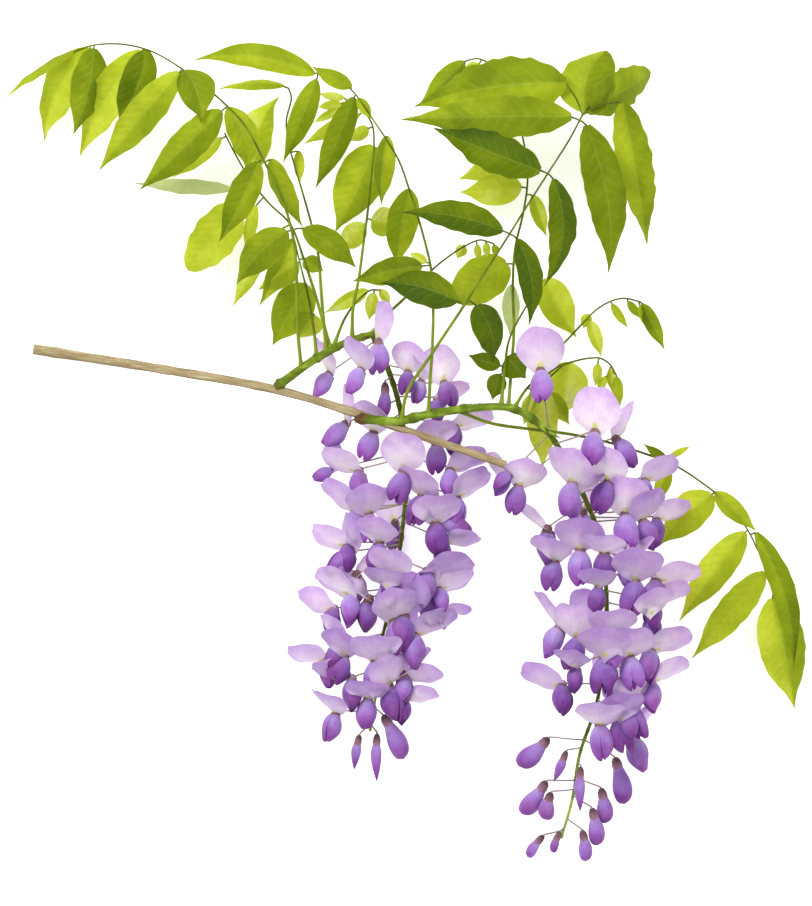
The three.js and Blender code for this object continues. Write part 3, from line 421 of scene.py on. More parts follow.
class Sheets:
    """Grids of points that are gathered into one mesh, with values for the materials."""

    def __init__(self):
        self.points = []
        self.faces = []
        self.looks = []
        self.values = {"tone": [], "along": [], "span": [], "phase": []}

    def grid(self, rows, look=0, wrap=False, **values):
        """Joins rows of points by faces. A value is one number or rows of numbers."""
        start = len(self.points)
        wide = len(rows[0])
        for i, row in enumerate(rows):
            self.points.extend(row)
            for name, kept in self.values.items():
                given = values.get(name, 0)
                kept.extend(given[i] if isinstance(given, list) else [given] * wide)
        for i in range(len(rows) - 1):
            for j in range(wide if wrap else wide - 1):
                a, b = start + i * wide + j, start + i * wide + (j + 1) % wide
                self.faces.append((a, b, b + wide, a + wide))
                self.looks.append(look)

    def cells(self, rows, names, wrap=False, **values):
        """A grid of rows of cells: a point, and then its own values by name."""
        for k, name in enumerate(names, 1):
            values[name] = [[cell[k] for cell in row] for row in rows]
        self.grid([[cell[0] for cell in row] for row in rows], 0, wrap, **values)

    def keep_above(self, level):
        for point in self.points:
            point.z = max(point.z, level)

    def tube(self, line, radius, sides, look=0, tone=0.0, closed=True):
        """A tube round a line: radius is a function of the share of its length and the turn."""
        count = len(line) - 1
        along = (line[1] - line[0]).normalized()
        seed = Vector((0, 0, 1)) if abs(along.z) < 0.9 else Vector((0, 1, 0))
        normal = rounded(seed, along)
        rows = []
        for i, centre in enumerate(line):
            step = line[min(i + 1, count)] - line[max(i - 1, 0)]
            along = step.normalized()
            normal = rounded(normal, along)
            across = along.cross(normal)
            ring = []
            for turn in turns(sides):
                r = radius(i / count, turn)
                ring.append(centre + normal * (r * math.cos(turn)) + across * (r * math.sin(turn)))
            rows.append(ring)
        if closed:
            rows.insert(0, [line[0].copy()] * sides)
            rows.append([line[-1].copy()] * sides)
        alongs = [[t] * sides for t in shares(len(rows) - 1)]
        spans = [[k / sides for k in range(sides)] for _ in rows]
        self.grid(rows, look, True, tone=tone, along=alongs, span=spans)

    def piece(self, name, looks, slot, *nodes):
        """The object, in metres, that stands for the nodes."""
        mesh = bpy.data.meshes.new(name)
        mesh.from_pydata([p * MM for p in self.points], [], self.faces)
        for look in looks:
            mesh.materials.append(look)
        mesh.polygons.foreach_set("material_index", self.looks)
        mesh.polygons.foreach_set("use_smooth", [True] * len(self.faces))
        for key, values in self.values.items():
            mesh.attributes.new(key, "FLOAT", "POINT").data.foreach_set("value", values)
        mesh.validate()
        mesh.update()
        made = bpy.data.objects.new(name, mesh)
        bpy.context.scene.collection.objects.link(made)
        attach(made, "root")
        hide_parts(*nodes)
        return made


# ---- Materials ----


class Look:
    """A material whose colour and bump come from nodes."""

    def __init__(self, name, roughness, **fixed):
        self.material = bpy.data.materials.new(name)
        self.material.use_nodes = True
        self.tree = self.material.node_tree
        self.tree.nodes.clear()
        fixed = {key.replace("_", " "): value for key, value in fixed.items()}
        self.shader = self.node("BsdfPrincipled", {"Roughness": roughness, **fixed})
        self.output = self.node("OutputMaterial", {"Surface": self.shader.outputs[0]})
        self.place = self.node("TexCoord").outputs["Object"]

    def node(self, kind, inputs=(), **settings):
        """A new node with its settings, and with its inputs set or linked."""
        made = self.tree.nodes.new("ShaderNode" + kind)
        for key, value in settings.items():
            setattr(made, key, value)
        for key, source in dict(inputs).items():
            self.join(source, made.inputs[key])
        return made

    def join(self, source, socket):
        if isinstance(source, (int, float)):
            socket.default_value = source
        elif isinstance(source, tuple):
            socket.default_value = (*source, 1)
        else:
            self.tree.links.new(source, socket)

    def value(self, name):
        return self.node("Attribute", attribute_name=name).outputs["Fac"]

    def sum(self, operation, a, b=0.0):
        return self.node("Math", {0: a, 1: b}, operation=operation).outputs[0]

    def times(self, a, b):
        return self.sum("MULTIPLY", a, b)

    def drifting(self, name, scale, amount):
        """A point value that noise moves up and down by an amount."""
        return self.sum("ADD", self.value(name), self.between(self.noise(scale), 0.3, 0.7, -amount, amount))

    def tint(self, colour, other, share, most):
        """A colour mixed with another by a share, and by no more than the most."""
        return self.mix(self.times(share, most), colour, other)

    def lines(self, width):
        """1 along the fine lines where the phase is a whole number, and 0 between them."""
        return self.between(self.sum("PINGPONG", self.value("phase"), 0.5), 0.0, width, 1.0, 0.0)

    def round_a_tube(self, pull):
        """Coordinates that follow a tube: round it, and along it by so much."""
        turn = self.times(self.value("span"), 2 * math.pi)
        ahead = self.times(self.value("along"), pull)
        inputs = {"X": self.sum("COSINE", turn), "Y": self.sum("SINE", turn), "Z": ahead}
        return self.node("CombineXYZ", inputs).outputs[0]

    def noise(self, scale, detail=3.0, roughness=0.55, stretch=None, where=None):
        where = where or self.place
        if stretch:
            mapping = self.node("Mapping", {"Vector": where})
            mapping.inputs["Scale"].default_value = stretch
            where = mapping.outputs[0]
        inputs = {"Scale": scale, "Detail": detail, "Roughness": roughness, "Vector": where}
        return self.node("TexNoise", inputs).outputs["Fac"]

    def between(self, value, low, high, out_low=0.0, out_high=1.0):
        """A smooth step of a value from one range to another."""
        inputs = {"Value": value, "From Min": low, "From Max": high, "To Min": out_low, "To Max": out_high}
        return self.node("MapRange", inputs, interpolation_type="SMOOTHSTEP").outputs["Result"]

    def ramp(self, value, *stops):
        """The colour at a value, between stops of (place, red, green, blue)."""
        node = self.node("ValToRGB", {"Fac": value})
        elements = node.color_ramp.elements
        for element, (at, *colour) in zip(elements, (stops[0], stops[-1])):
            element.position = at
            element.color = (*colour, 1)
        for at, *colour in stops[1:-1]:
            elements.new(at).color = (*colour, 1)
        return node.outputs["Color"]

    def mix(self, share, a, b):
        return self.node("Mix", {"Factor": share, "A": a, "B": b}, data_type="RGBA").outputs["Result"]

    def bump(self, height, distance, strength):
        node = self.node("Bump", {"Strength": strength, "Distance": distance, "Height": height})
        self.join(node.outputs[0], self.shader.inputs["Normal"])

    def finish(self, colour, thin=0.0, glow=None):
        """Sets the colour, and lets a share of the light through if the surface is thin."""
        self.join(colour, self.shader.inputs["Base Color"])
        if thin:
            through = self.node("BsdfTranslucent", {"Color": colour if glow is None else glow})
            both = self.node("MixShader", {"Fac": thin, 1: self.shader.outputs[0], 2: through.outputs[0]})
            self.join(both.outputs[0], self.output.inputs["Surface"])
        return self.material


def leaf_look():
    look = Look("leaf_blade", 0.55, Specular_IOR_Level=0.06)
    green = look.ramp(
        look.drifting("tone", 55, 0.08), (0.0, 0.46, 0.53, 0.24), (0.03, 0.60, 0.66, 0.13),
        (0.13, 0.50, 0.56, 0.04), (0.3, 0.34, 0.405, 0.018), (0.5, 0.20, 0.26, 0.008),
        (0.75, 0.085, 0.135, 0.003), (1.0, 0.022, 0.065, 0.006),
    )
    # Side veins run from the rib towards the tip; their phase is a whole number on each vein.
    wander = look.between(look.noise(110, 2), 0.25, 0.75, -0.22, 0.22)
    off = look.sum("PINGPONG", look.sum("ADD", look.value("phase"), wander), 0.5)
    side_vein = look.between(off, 0.0, 0.09, 1.0, 0.0)
    span = look.value("span")
    fading = look.between(span, 0.05, 0.95, 1.0, 0.1)
    rib = look.between(span, 0.01, 0.06, 1.0, 0.0)
    patches = look.between(look.noise(420, 5), 0.35, 0.65)
    dark = look.mix(0.5, green, (0.10, 0.16, 0.005))
    green = look.tint(green, dark, patches, 0.2)
    # The fields between the veins are a little darker towards each vein's upper side.
    field = look.times(look.between(off, 0.05, 0.5), look.between(span, 1.0, 0.2))
    green = look.tint(green, dark, field, 0.10)
    pale = look.mix(0.5, green, (0.55, 0.62, 0.16))
    veins = look.sum("MAXIMUM", look.times(side_vein, fading), rib)
    colour = look.tint(green, pale, veins, 0.24)
    edge = look.between(span, 0.94, 1.0)
    colour = look.tint(colour, (0.5, 0.52, 0.06), edge, 0.35)
    quilt = look.times(look.between(off, 0.0, 0.5), look.between(span, 0.0, 0.3))
    grain = look.times(look.noise(1800, 4), 0.3)
    look.bump(look.sum("ADD", quilt, grain), 0.0004, 0.5)
    glow = look.mix(0.2, colour, (0.52, 0.62, 0.01))
    return look.finish(colour, 0.4, glow)


def stalk_look():
    look = Look("leaf_stalk", 0.6, Specular_IOR_Level=0.08)
    tone = look.drifting("tone", 90, 0.15)
    tone = look.times(tone, look.between(look.value("along"), 0.0, 0.6, 0.45, 1.25))
    colour = look.ramp(
        tone, (0.0, 0.28, 0.34, 0.028), (0.3, 0.165, 0.235, 0.012), (0.6, 0.075, 0.105, 0.006),
        (1.0, 0.045, 0.052, 0.008),
    )
    look.bump(look.noise(1500, 4, stretch=(1, 1, 0.4)), 0.0003, 0.5)
    return look.finish(colour)


def shoot_look():
    look = Look("green_shoot", 0.6, Specular_IOR_Level=0.1)
    long_grain = look.noise(260, 5, stretch=(0.25, 1, 1))
    colour = look.ramp(
        look.sum("ADD", look.value("tone"), look.between(long_grain, 0.3, 0.7, -0.2, 0.2)),
        (0.0, 0.30, 0.42, 0.05), (0.2, 0.15, 0.225, 0.014), (0.5, 0.085, 0.13, 0.008),
        (0.72, 0.12, 0.10, 0.02), (1.0, 0.10, 0.05, 0.022),
    )
    look.bump(look.sum("ADD", long_grain, look.noise(2200, 4)), 0.0004, 0.6)
    return look.finish(colour)


def bark_look():
    look = Look("bark", 0.72, Specular_IOR_Level=0.3)
    fibres = look.noise(2.6, 7, 0.62, where=look.round_a_tube(9))
    brown = look.ramp(
        fibres, (0.3, 0.16, 0.11, 0.05), (0.45, 0.28, 0.21, 0.10), (0.6, 0.39, 0.315, 0.165),
        (0.75, 0.57, 0.49, 0.30),
    )
    # One flank is painted darker brown, as painted shade on the side away from the key light, and small pale
    # pores are strewn over the rest.
    shaded_flank = look.between(look.value("tone"), 0.25, 0.9)
    shaded = look.times(shaded_flank, look.between(look.noise(60, 4), 0.2, 0.6, 0.5, 1.0))
    colour = look.tint(brown, (0.17, 0.11, 0.04), shaded, 0.8)
    pores = look.between(look.noise(900, 2, stretch=(0.5, 1, 1)), 0.68, 0.74)
    colour = look.tint(colour, (0.70, 0.60, 0.42), pores, 0.5)
    look.bump(look.sum("ADD", fibres, look.times(pores, 0.4)), 0.0004, 0.6)
    return look.finish(colour)


def cut_look():
    look = Look("cut_wood", 0.8)
    rings = look.noise(1400, 4)
    colour = look.ramp(rings, (0.3, 0.50, 0.38, 0.22), (0.7, 0.74, 0.62, 0.42))
    pith = look.between(look.value("along"), 0.0, 0.35, 1.0, 0.0)
    look.bump(rings, 0.0003, 0.5)
    return look.finish(look.tint(colour, (0.30, 0.20, 0.11), pith, 0.6))


def petal(name, roughness, drift, pale, deep):
    """A petal's look, and its colour: it fades along the petal and is deeper where the tone is."""
    look = Look(name, roughness, Sheen_Weight=0.12, Specular_IOR_Level=0.3)
    fade = look.drifting("along", *drift)
    return look, look.mix(look.value("tone"), look.ramp(fade, *pale), look.ramp(fade, *deep))


def banner_look():
    look, colour = petal(
        "banner_petal", 0.55, (120, 0.16),
        [(0.0, 0.90, 0.84, 0.84), (0.35, 0.85, 0.74, 0.85), (0.75, 0.70, 0.52, 0.79),
         (1.0, 0.58, 0.38, 0.72)],
        [(0.0, 0.60, 0.45, 0.66), (0.45, 0.50, 0.33, 0.66), (1.0, 0.38, 0.205, 0.57)],
    )
    lines = look.lines(0.14)
    colour = look.tint(colour, (0.40, 0.22, 0.58), lines, 0.12)
    blush = look.between(look.noise(75, 2), 0.5, 0.7)
    colour = look.tint(colour, (0.72, 0.46, 0.72), blush, 0.25)
    spot = look.between(look.value("span"), 0.3, 0.8)
    colour = look.tint(colour, (0.66, 0.66, 0.16), spot, 0.85)
    look.bump(look.sum("ADD", look.times(lines, 0.4), look.noise(1300, 3)), 0.0003, 0.3)
    return look.finish(colour, 0.42)


def wing_look():
    look, colour = petal(
        "wing_petal", 0.5, (160, 0.12),
        [(0.0, 0.62, 0.49, 0.82), (0.35, 0.49, 0.33, 0.76), (0.7, 0.42, 0.17, 0.60),
         (1.0, 0.28, 0.055, 0.37)],
        [(0.0, 0.36, 0.24, 0.60), (0.35, 0.26, 0.11, 0.46), (0.7, 0.20, 0.04, 0.30),
         (1.0, 0.11, 0.015, 0.16)],
    )
    blush = look.between(look.noise(70, 2), 0.48, 0.68)
    colour = look.tint(colour, (0.40, 0.12, 0.42), blush, 0.4)
    lines = look.lines(0.13)
    colour = look.tint(colour, (0.2, 0.05, 0.36), lines, 0.14)
    look.bump(look.sum("ADD", look.times(lines, 0.4), look.noise(1300, 3)), 0.0003, 0.3)
    return look.finish(colour, 0.3)


def calyx_look():
    look = Look("calyx", 0.6, Sheen_Weight=0.06)
    tone = look.drifting("tone", 300, 0.2)
    colour = look.ramp(tone, (0.0, 0.30, 0.19, 0.17), (0.5, 0.15, 0.068, 0.075), (1.0, 0.062, 0.022, 0.027))
    rim = look.between(look.value("along"), 0.35, 1.0, 0.0, 0.65)
    colour = look.mix(rim, colour, (0.40, 0.19, 0.30))
    look.bump(look.noise(2400, 4), 0.0003, 0.5)
    return look.finish(colour)


def pedicel_look():
    look = Look("pedicel", 0.5)
    tone = look.drifting("tone", 200, 0.2)
    colour = look.ramp(tone, (0.0, 0.40, 0.42, 0.18), (0.5, 0.34, 0.28, 0.18), (1.0, 0.22, 0.12, 0.15))
    look.bump(look.noise(2000, 4), 0.0002, 0.5)
    return look.finish(colour)


LEAF = leaf_look()
STALK = stalk_look()
SHOOT = shoot_look()
BARK = bark_look()
CUT = cut_look()
BANNER = banner_look()
WING = wing_look()
CALYX = calyx_look()
PEDICEL = pedicel_look()

# ---- Stem and shoots ----

# The rings of a cut face: share of the radius, depth, and its value for the look.
CUT_RINGS = [(1.0, 0.0, 1.0), (0.93, -0.12, 0.93), (0.6, -0.05, 0.6), (0.3, 0.1, 0.3), (0.02, 0.14, 0.0)]


def bumps(draw, count, height, width):
    """A radius factor with rings that swell at drawn places along a stem."""
    spots = [((i + 0.2 + 0.6 * draw()) / count, height * (0.6 + 0.8 * draw())) for i in range(count)]
    return lambda t: 1 + sum(h * math.exp(-(((t - at) / width) ** 2)) for at, h in spots)


def woody_stem():
    line = evenly(curve_through([place(row) for row in STEM]), STEM_STEPS)
    draw = draw_from(STEM_SEED)
    swell = bumps(draw, 5, 0.10, 0.012)
    ridges = [(3 + int(5 * draw()), PHASE * draw(), 0.02 + 0.025 * draw()) for _ in range(4)]

    def radius(t, turn):
        ridge = sum(h * math.sin(n * turn + off + 2.5 * t) for n, off, h in ridges)
        wobble = 0.03 * math.sin(40 * t) + 0.02 * math.sin(93 * t + 1)
        return lerp(STEM_FOOT_RADIUS, STEM_END_RADIUS, t) * swell(t) * (1 + 0.5 * ridge + wobble)

    bark = Sheets()
    bark.tube(line, radius, STEM_SIDES, closed=False)
    # The tone is 1 along the flank that faces the racemes, away from the key light, where the bark look
    # paints shade.
    bark.values["tone"] = [
        smoothstep(math.sin(turn - 0.25), 0.2, 0.95) for _ in line for turn in turns(STEM_SIDES)
    ]
    bark.keep_above(BARK_CLEARANCE)
    bark.piece("stem_bark", [BARK], "bark", "woody_stem")
    cut = Sheets()
    for end, sign in ((0, 1), (-1, -1)):
        ring = bark.points[:STEM_SIDES] if end == 0 else bark.points[-STEM_SIDES:]
        inward = (line[end + sign] - line[end]).normalized()
        rows = []
        for share, depth, along in CUT_RINGS:
            rows.append([(line[end].lerp(p, share) + inward * depth, along) for p in ring[::sign]])
        cut.cells(rows, ["along"], True)
    cut.piece("stem_cut_ends", [CUT], "bark", "woody_stem")


def shoot(name, rows, node, seed, knots, heel):
    line = evenly(curve_through([place(row) for row in rows]), SHOOT_STEPS)
    draw = draw_from(seed)
    swell = bumps(draw, knots, 0.30, 0.022)

    def radius(t, turn):
        ridge = 0.05 * math.sin(5 * turn + 9 * t) + 0.03 * math.sin(3 * turn - 17 * t)
        return SHOOT_RADIUS * lerp(1.15, 0.85, t) * (0.9 * swell(t)) * (1 + ridge)

    skin = Sheets()
    skin.tube(line, radius, SHOOT_SIDES)
    # The shoot is brown where it leaves the stem, and darker at its nodes.
    for i, t in enumerate(skin.values["along"]):
        node_tone = 0.25 + 0.25 * smoothstep(swell(t), 1.1, 1.3)
        skin.values["tone"][i] = max(node_tone, heel * smoothstep(t, 0.12, 0.02))
    # Papery scales sit at the nodes of the shoot, and longer green ones at its end.
    for i in range(knots * 2):
        t = (i // 2 + 0.35 + 0.4 * draw()) / knots
        shoot_scale(skin, line, t, 2.6 + 1.6 * draw(), 0.9, 0.75 + 0.3 * draw(), draw)
    for i in range(END_SCALES):
        shoot_scale(skin, line, 0.93 + 0.012 * i, 4.5 + 4 * draw(), 2.2, 0.15 * draw(), draw)
    skin.piece(name, [SHOOT], "shoot", node)
    return line


def shoot_scale(skin, line, t, length, flare, tone, draw):
    """A scale that stands off a shoot at t along it and tapers to a point."""
    last = len(line) - 1
    at = line[int(t * last)]
    along = (at - line[int(t * last) - 2]).normalized()
    turn = PHASE * draw()
    normal = rounded(Vector((0, 0, 1)), along)
    out = normal * math.cos(turn) + along.cross(normal) * math.sin(turn)
    side = along.cross(out)
    rows = []
    for share in shares(6):
        middle = at + out * (1.5 + flare * share ** 1.5) + along * (length * share)
        half = 0.9 * math.sin(math.pi * (0.25 + 0.75 * share)) + 0.02
        rows.append([middle + side * (half * w) - out * (0.3 * w * w) for w in (-1, -0.5, 0, 0.5, 1)])
    skin.grid(rows, 0, tone=tone)


# ---- Leaves ----


def blade_outline(t, blunt):
    """Half width of a leaflet at t along its rib, with 1 as the widest: round foot, drawn-out tip."""
    if blunt:
        return math.sin(math.pi * t ** 0.8) ** 0.55
    body = math.sin(math.pi * t ** 0.70) ** 0.8
    return body * (1 - 0.62 * smoothstep(t, 0.6, 1.0))


def leaflet(sheets, row, seat, tone, frill, draw):
    foot = place([row[0], row[1], seat.z])
    tip = place(row[2:5])
    width, roll, bow, blunt = (*row[5:], 0, 0)[:4]
    along = tip - foot
    length = along.length
    along.normalize()
    up = Matrix.Rotation(math.radians(roll), 3, along) @ rounded(Vector((0, 0, 1)), along)
    across = along.cross(up)
    # The little stalk, thick and a bit bent.
    sag = up * (-0.12 * (foot - seat).length)
    stalk = evenly(curve_through([seat, seat.lerp(foot, 0.5) + sag, foot + along * 0.6]), 6)
    sheets.tube(stalk, lambda t, turn: 0.55 - 0.1 * math.sin(math.pi * t), 7, 1, tone=0.3 + tone * 0.4)
    steps, half_steps = (40, 8) if length > FINE_LENGTH else (14, 4)
    bend = bow + (draw() - 0.5) * 0.035 * length
    wave = (0.02 + 0.03 * draw()) * width * frill
    beats = length / (17 + 12 * draw())
    off = [PHASE * draw(), PHASE * draw()]
    scallop = (0.008 + 0.011 * draw()) * frill ** 2 if length > SCALLOP_LENGTH else 0
    teeth = length / (9 + 4 * draw())
    twist = math.radians((draw() - 0.5) * 30)
    fold = lerp(0.10, 0.42, draw())
    cup = (draw() - 0.35) * 0.10
    # One half of the blade is painted a little lighter and the other a little darker: painted light and
    # shade, as on the two sides of a folded leaflet.
    painted_half_shade = (draw() - 0.5) * 0.3
    quilt = 0.010 * width
    pairs = max(6, min(13, length / VEIN_SPACING))
    rows = []
    for t in shares(steps):
        half = width / 2 * blade_outline(min(max(t, 0.008), 0.998), blunt)
        rib = foot + along * (length * t) + across * (bend * 4 * t * (1 - t))
        rib += up * (RIB_ARCH * length * t * (1 - t) + 0.45)
        turned = Matrix.Rotation(twist * (t - 0.3), 3, along)
        out, top = turned @ across, turned @ up
        cells = []
        for j in range(-half_steps, half_steps + 1):
            s = j / half_steps
            reach = abs(s)
            side = off[0] if s > 0 else off[1]
            lift = -fold * half * reach ** 1.25 + cup * half * reach ** 3
            ruffle = math.sin(beats * PHASE * t + side) + 0.5 * math.sin(2.3 * beats * PHASE * t - side)
            lift += wave * reach ** 3 * ruffle * math.sin(math.pi * t)
            edge = 1 + scallop * reach ** 4 * (math.sin(teeth * PHASE * t + side) - 0.6)
            phase = t * pairs - 0.5 * reach * pairs * half * 2 / length
            lift += quilt * math.sin(math.pi * (phase % 1)) * min(1, 4 * reach) * (1 - reach * 0.6)
            point = rib + out * (half * s * edge) + top * lift
            # The tone here carries that painted light and shade of the two halves.
            shaded = max(YELLOWEST, tone + painted_half_shade * max(-1, min(1, 6 * s))) if tone > 0 else tone
            cells.append((point, shaded, t, reach, phase))
        rows.append(cells)
    sheets.cells(rows, ["tone", "along", "span", "phase"])


def leaf(name, stalk, leaflets, shoots, seed):
    draw = draw_from(seed)
    first, *rest = [place(row) for row in stalk]
    line = curve_through([foot_on(shoots, first), *rest])
    sheets = Sheets()
    even = evenly(line, STALK_STEPS)
    total = sum((q - p).length for p, q in zip(even, even[1:]))

    def radius(t, turn):
        swollen = 0.75 * math.exp(-((t * total / 4.2) ** 2))
        ridge = 0.05 * math.cos(3 * turn)
        return lerp(0.86, 0.45, smoothstep(t, 0, 0.85)) * (1 + swollen + ridge)

    sheets.tube(even, radius, 9, 1, tone=0.45)
    for row, tone in zip(leaflets, TONES[name]):
        seat = nearest_on(line, place([row[0], row[1], 0]))
        leaflet(sheets, row, seat, tone, FRILLS.get(name, 1), draw)
    sheets.keep_above(FLOOR_CLEARANCE)
    sheets.piece("fine_" + name, [LEAF, STALK], "leaf", name)


# ---- Racemes ----

CALYX_RINGS = [
    (-0.19, 0.03, 0), (-0.17, 0.10, 0), (-0.08, 0.155, 0), (0.05, 0.18, 0), (0.13, 0.19, 0), (0.17, 0.185, 1),
]
CAP_RINGS = [(-0.2, 0.1, 0), (-0.12, 0.5, 0), (0.15, 0.85, 0), (0.6, 1, 0), (0.9, 0.95, 1)]


def flower_axes(heading, rise, roll):
    turn, lift = math.radians(heading), math.radians(rise)
    forward = Vector((math.cos(turn) * math.cos(lift), math.sin(turn) * math.cos(lift), math.sin(lift)))
    up = Matrix.Rotation(math.radians(roll), 3, forward) @ rounded(Vector((0, 1, 0.35)), forward)
    return forward, up, forward.cross(up)


class Raceme:
    """The sheets of one raceme, by what they are made of."""

    def __init__(self):
        self.stalks, self.cups, self.banners, self.wings = Sheets(), Sheets(), Sheets(), Sheets()
        self.blooms = []

    def pedicel(self, seat, calyx, forward, draw, tone):
        bow = Vector((0, 0, 1)) * ((calyx - seat).length * (0.06 + 0.06 * draw()))
        back = calyx - forward * 1.2
        middle = seat.lerp(back, 0.5) + bow
        line = evenly(curve_through([seat, middle, back, calyx - forward * 0.2]), 14)
        radius = lambda t, turn: 0.42 + 0.12 * math.exp(-((t / 0.08) ** 2)) + 0.15 * t ** 6
        self.stalks.tube(line, radius, 6, 1, tone=tone)

    def cup(self, calyx, forward, side, up, rings, length, width, tooth, tone):
        """A cup with five teeth: rings of [share of its length, half width, whether it is the rim]."""
        rows = []
        for i, (share, half, rim) in enumerate(rings):
            row = []
            for turn in turns(CUP_SIDES):
                ahead = (share + rim * tooth(5 * turn)) * length
                out = side * math.cos(turn) + up * math.sin(turn)
                row.append((calyx + forward * ahead + out * (half * width), i / (len(rings) - 1)))
            rows.append(row)
        self.cups.cells(rows, ["along"], True, tone=tone)

    def banner(self, calyx, axes, size, reflex, tone, draw):
        """The round petal that stands up behind the others, with a pale middle and a spot."""
        forward, up, side = axes
        tip = math.radians(reflex)
        tall = up * math.cos(tip) - forward * math.sin(tip)
        facing = tall.cross(side)
        radius = size * BANNER_SHARE
        centre = calyx - up * (size * 0.05) + tall * (radius * 0.82)
        ripple = [PHASE * draw(), PHASE * draw()]
        curl = 0.06 + 0.16 * draw()
        fold = 0.14 + 0.16 * draw()
        lean = (draw() - 0.5) * 0.16
        rows = []
        for r in shares(9):
            row = []
            for turn in turns(SPOKES):
                x, y = math.cos(turn), math.sin(turn)
                notch = 0.07 * math.exp(-(((turn - math.pi / 2) / 0.2) ** 2))
                neck = 0.34 * abs(x) ** 0.7 * max(0, -y) ** 1.4
                edge = 1.02 - notch - neck + 0.02 * math.sin(5 * turn + ripple[1])
                px, py = x * edge * r * 0.94, y * edge * r
                lift = -fold * abs(px) ** 1.6 - curl * max(0, py) ** 2 + 0.10 * (1 - r)
                lift += 0.10 * math.exp(-((px / 0.10) ** 2)) * max(0, -py)
                lift -= 0.04 * math.exp(-((px / 0.08) ** 2)) * max(0, py + 0.2)
                frill = math.sin(3 * turn + ripple[0]) + 0.6 * math.sin(7 * turn + ripple[1])
                lift += 0.04 * r ** 3 * frill
                lift += lean * px
                point = centre + side * (px * radius) + tall * (py * radius) + facing * (lift * radius)
                along = min(1, math.hypot(px, py + 0.45) / 1.4)
                spot = math.exp(-((px / 0.15) ** 2) - ((py + 0.52) / 0.22) ** 2)
                row.append((point, along, spot, 0.5 + math.atan2(px, py + 1.05) * 7))
            rows.append(row)
        self.banners.cells(rows, ["along", "span", "phase"], True, tone=tone)

    def wing_pair(self, calyx, axes, size, tone, draw):
        """Two wings folded together over the keel, one a little in front of the other."""
        forward, up, side = axes
        roll = Matrix.Rotation(math.radians((draw() - 0.5) * 70), 3, forward)
        up, side = roll @ up, roll @ side
        length = size * 1.08
        droop = 0.10 + 0.10 * draw()
        leading = 1 if draw() > 0.5 else -1
        for sign in (-1, 1):
            rows = []
            apart = 0.02 + 0.24 * draw() ** 1.6
            ahead = 0.05 if sign == leading else 0.0
            for t in shares(14):
                wide = 0.33 * size * math.sin(math.pi * (0.09 + 0.88 * t)) ** 0.7
                centre = calyx + forward * (length * (0.02 + (0.96 + ahead) * t))
                centre -= up * (droop * size * t ** 1.5)
                centre += side * (sign * size * apart * t ** 2)
                row = []
                for s in shares(12)[::sign]:
                    turn = math.radians(lerp(108, -80, s))
                    out = wide * math.cos(turn) * 1.12
                    high = wide * math.sin(turn) * (0.85 if turn > 0 else 1.15)
                    high += 0.05 * size * math.sin(5 * t + 4 * s) * t
                    point = centre + side * (sign * out) + up * (high + ahead * size * 0.4)
                    row.append((point, t, len(row) / 2 + 0.5))
                rows.append(row)
            self.wings.cells(rows, ["along", "phase"], tone=tone)
        # The keel between them, which shows below and at the tip.
        rows = []
        for t in shares(10):
            wide = 0.20 * size * math.sin(math.pi * min(0.985, 0.12 + 0.86 * t)) ** 0.7
            centre = calyx + forward * (length * (0.02 + 0.97 * t)) - up * (size * (0.14 + 0.02 * t))
            centre += up * (size * ((0.12 - droop) * t ** 2))
            row = []
            for turn in turns(10):
                out = side * (wide * 0.7 * math.cos(turn)) + up * (wide * 1.15 * math.sin(turn))
                row.append((centre + out, 0.45 + 0.55 * t))
            rows.append(row)
        self.wings.cells(rows, ["along"], True, tone=min(1, tone + 0.35))

    def flower(self, calyx, seat, angles, age, draw):
        heading, rise, roll, scale, reflex = angles
        size = FLOWER_SIZE * scale
        axes = flower_axes(heading, rise, roll)
        forward, up, side = axes
        self.pedicel(seat, calyx, forward, draw, 0.35 + 0.4 * draw())
        tooth = lambda turn: 0.055 * max(0, math.cos(turn))
        self.cup(calyx, forward, side, up, CALYX_RINGS, size, size, tooth, 0.25 + 0.5 * draw())
        banner_tone = min(1, max(0, age * 0.5 + 1.1 * (draw() - 0.45)))
        first_banner, first_wing = len(self.banners.points), len(self.wings.points)
        self.banner(calyx, axes, size, reflex, banner_tone, draw)
        self.wing_pair(calyx, axes, size, min(1, max(0, 0.3 + 0.25 * age + 1.2 * (draw() - 0.5))), draw)
        self.blooms.append((range(first_banner, len(self.banners.points)),
                            range(first_wing, len(self.wings.points))))

    def drape(self):
        """Bend each banner over or under the wings of its neighbours, as petals lie on each other."""
        trees = []
        chosen = {}
        for _, wing in self.blooms:
            faces = [face for face in self.wings.faces if face[0] in wing]
            local = [[index - wing.start for index in face] for face in faces]
            points = [self.wings.points[index] for index in wing]
            middle = sum(points, Vector()) / len(points)
            trees.append((middle, BVHTree.FromPolygons(points, local)))
        down = Vector((0, 0, -1))
        for number, (banner, _) in [bloom for _ in range(DRAPE_PASSES) for bloom in enumerate(self.blooms)]:
            points = [self.banners.points[index] for index in banner]
            middle = sum(points, Vector()) / len(points)
            for other, (wing_middle, tree) in enumerate(trees):
                if other == number or (wing_middle - middle).length > DRAPE_REACH:
                    continue
                tops, unders = {}, {}
                for index, point in enumerate(points):
                    above = tree.ray_cast(point - down * DRAPE_RAY, down, 2 * DRAPE_RAY)[0]
                    below = tree.ray_cast(point + down * DRAPE_RAY, -down, 2 * DRAPE_RAY)[0]
                    if above and below:
                        tops[index], unders[index] = above.z - point.z, below.z - point.z
                if not any(tops[i] > 0 > unders[i] for i in tops):
                    continue
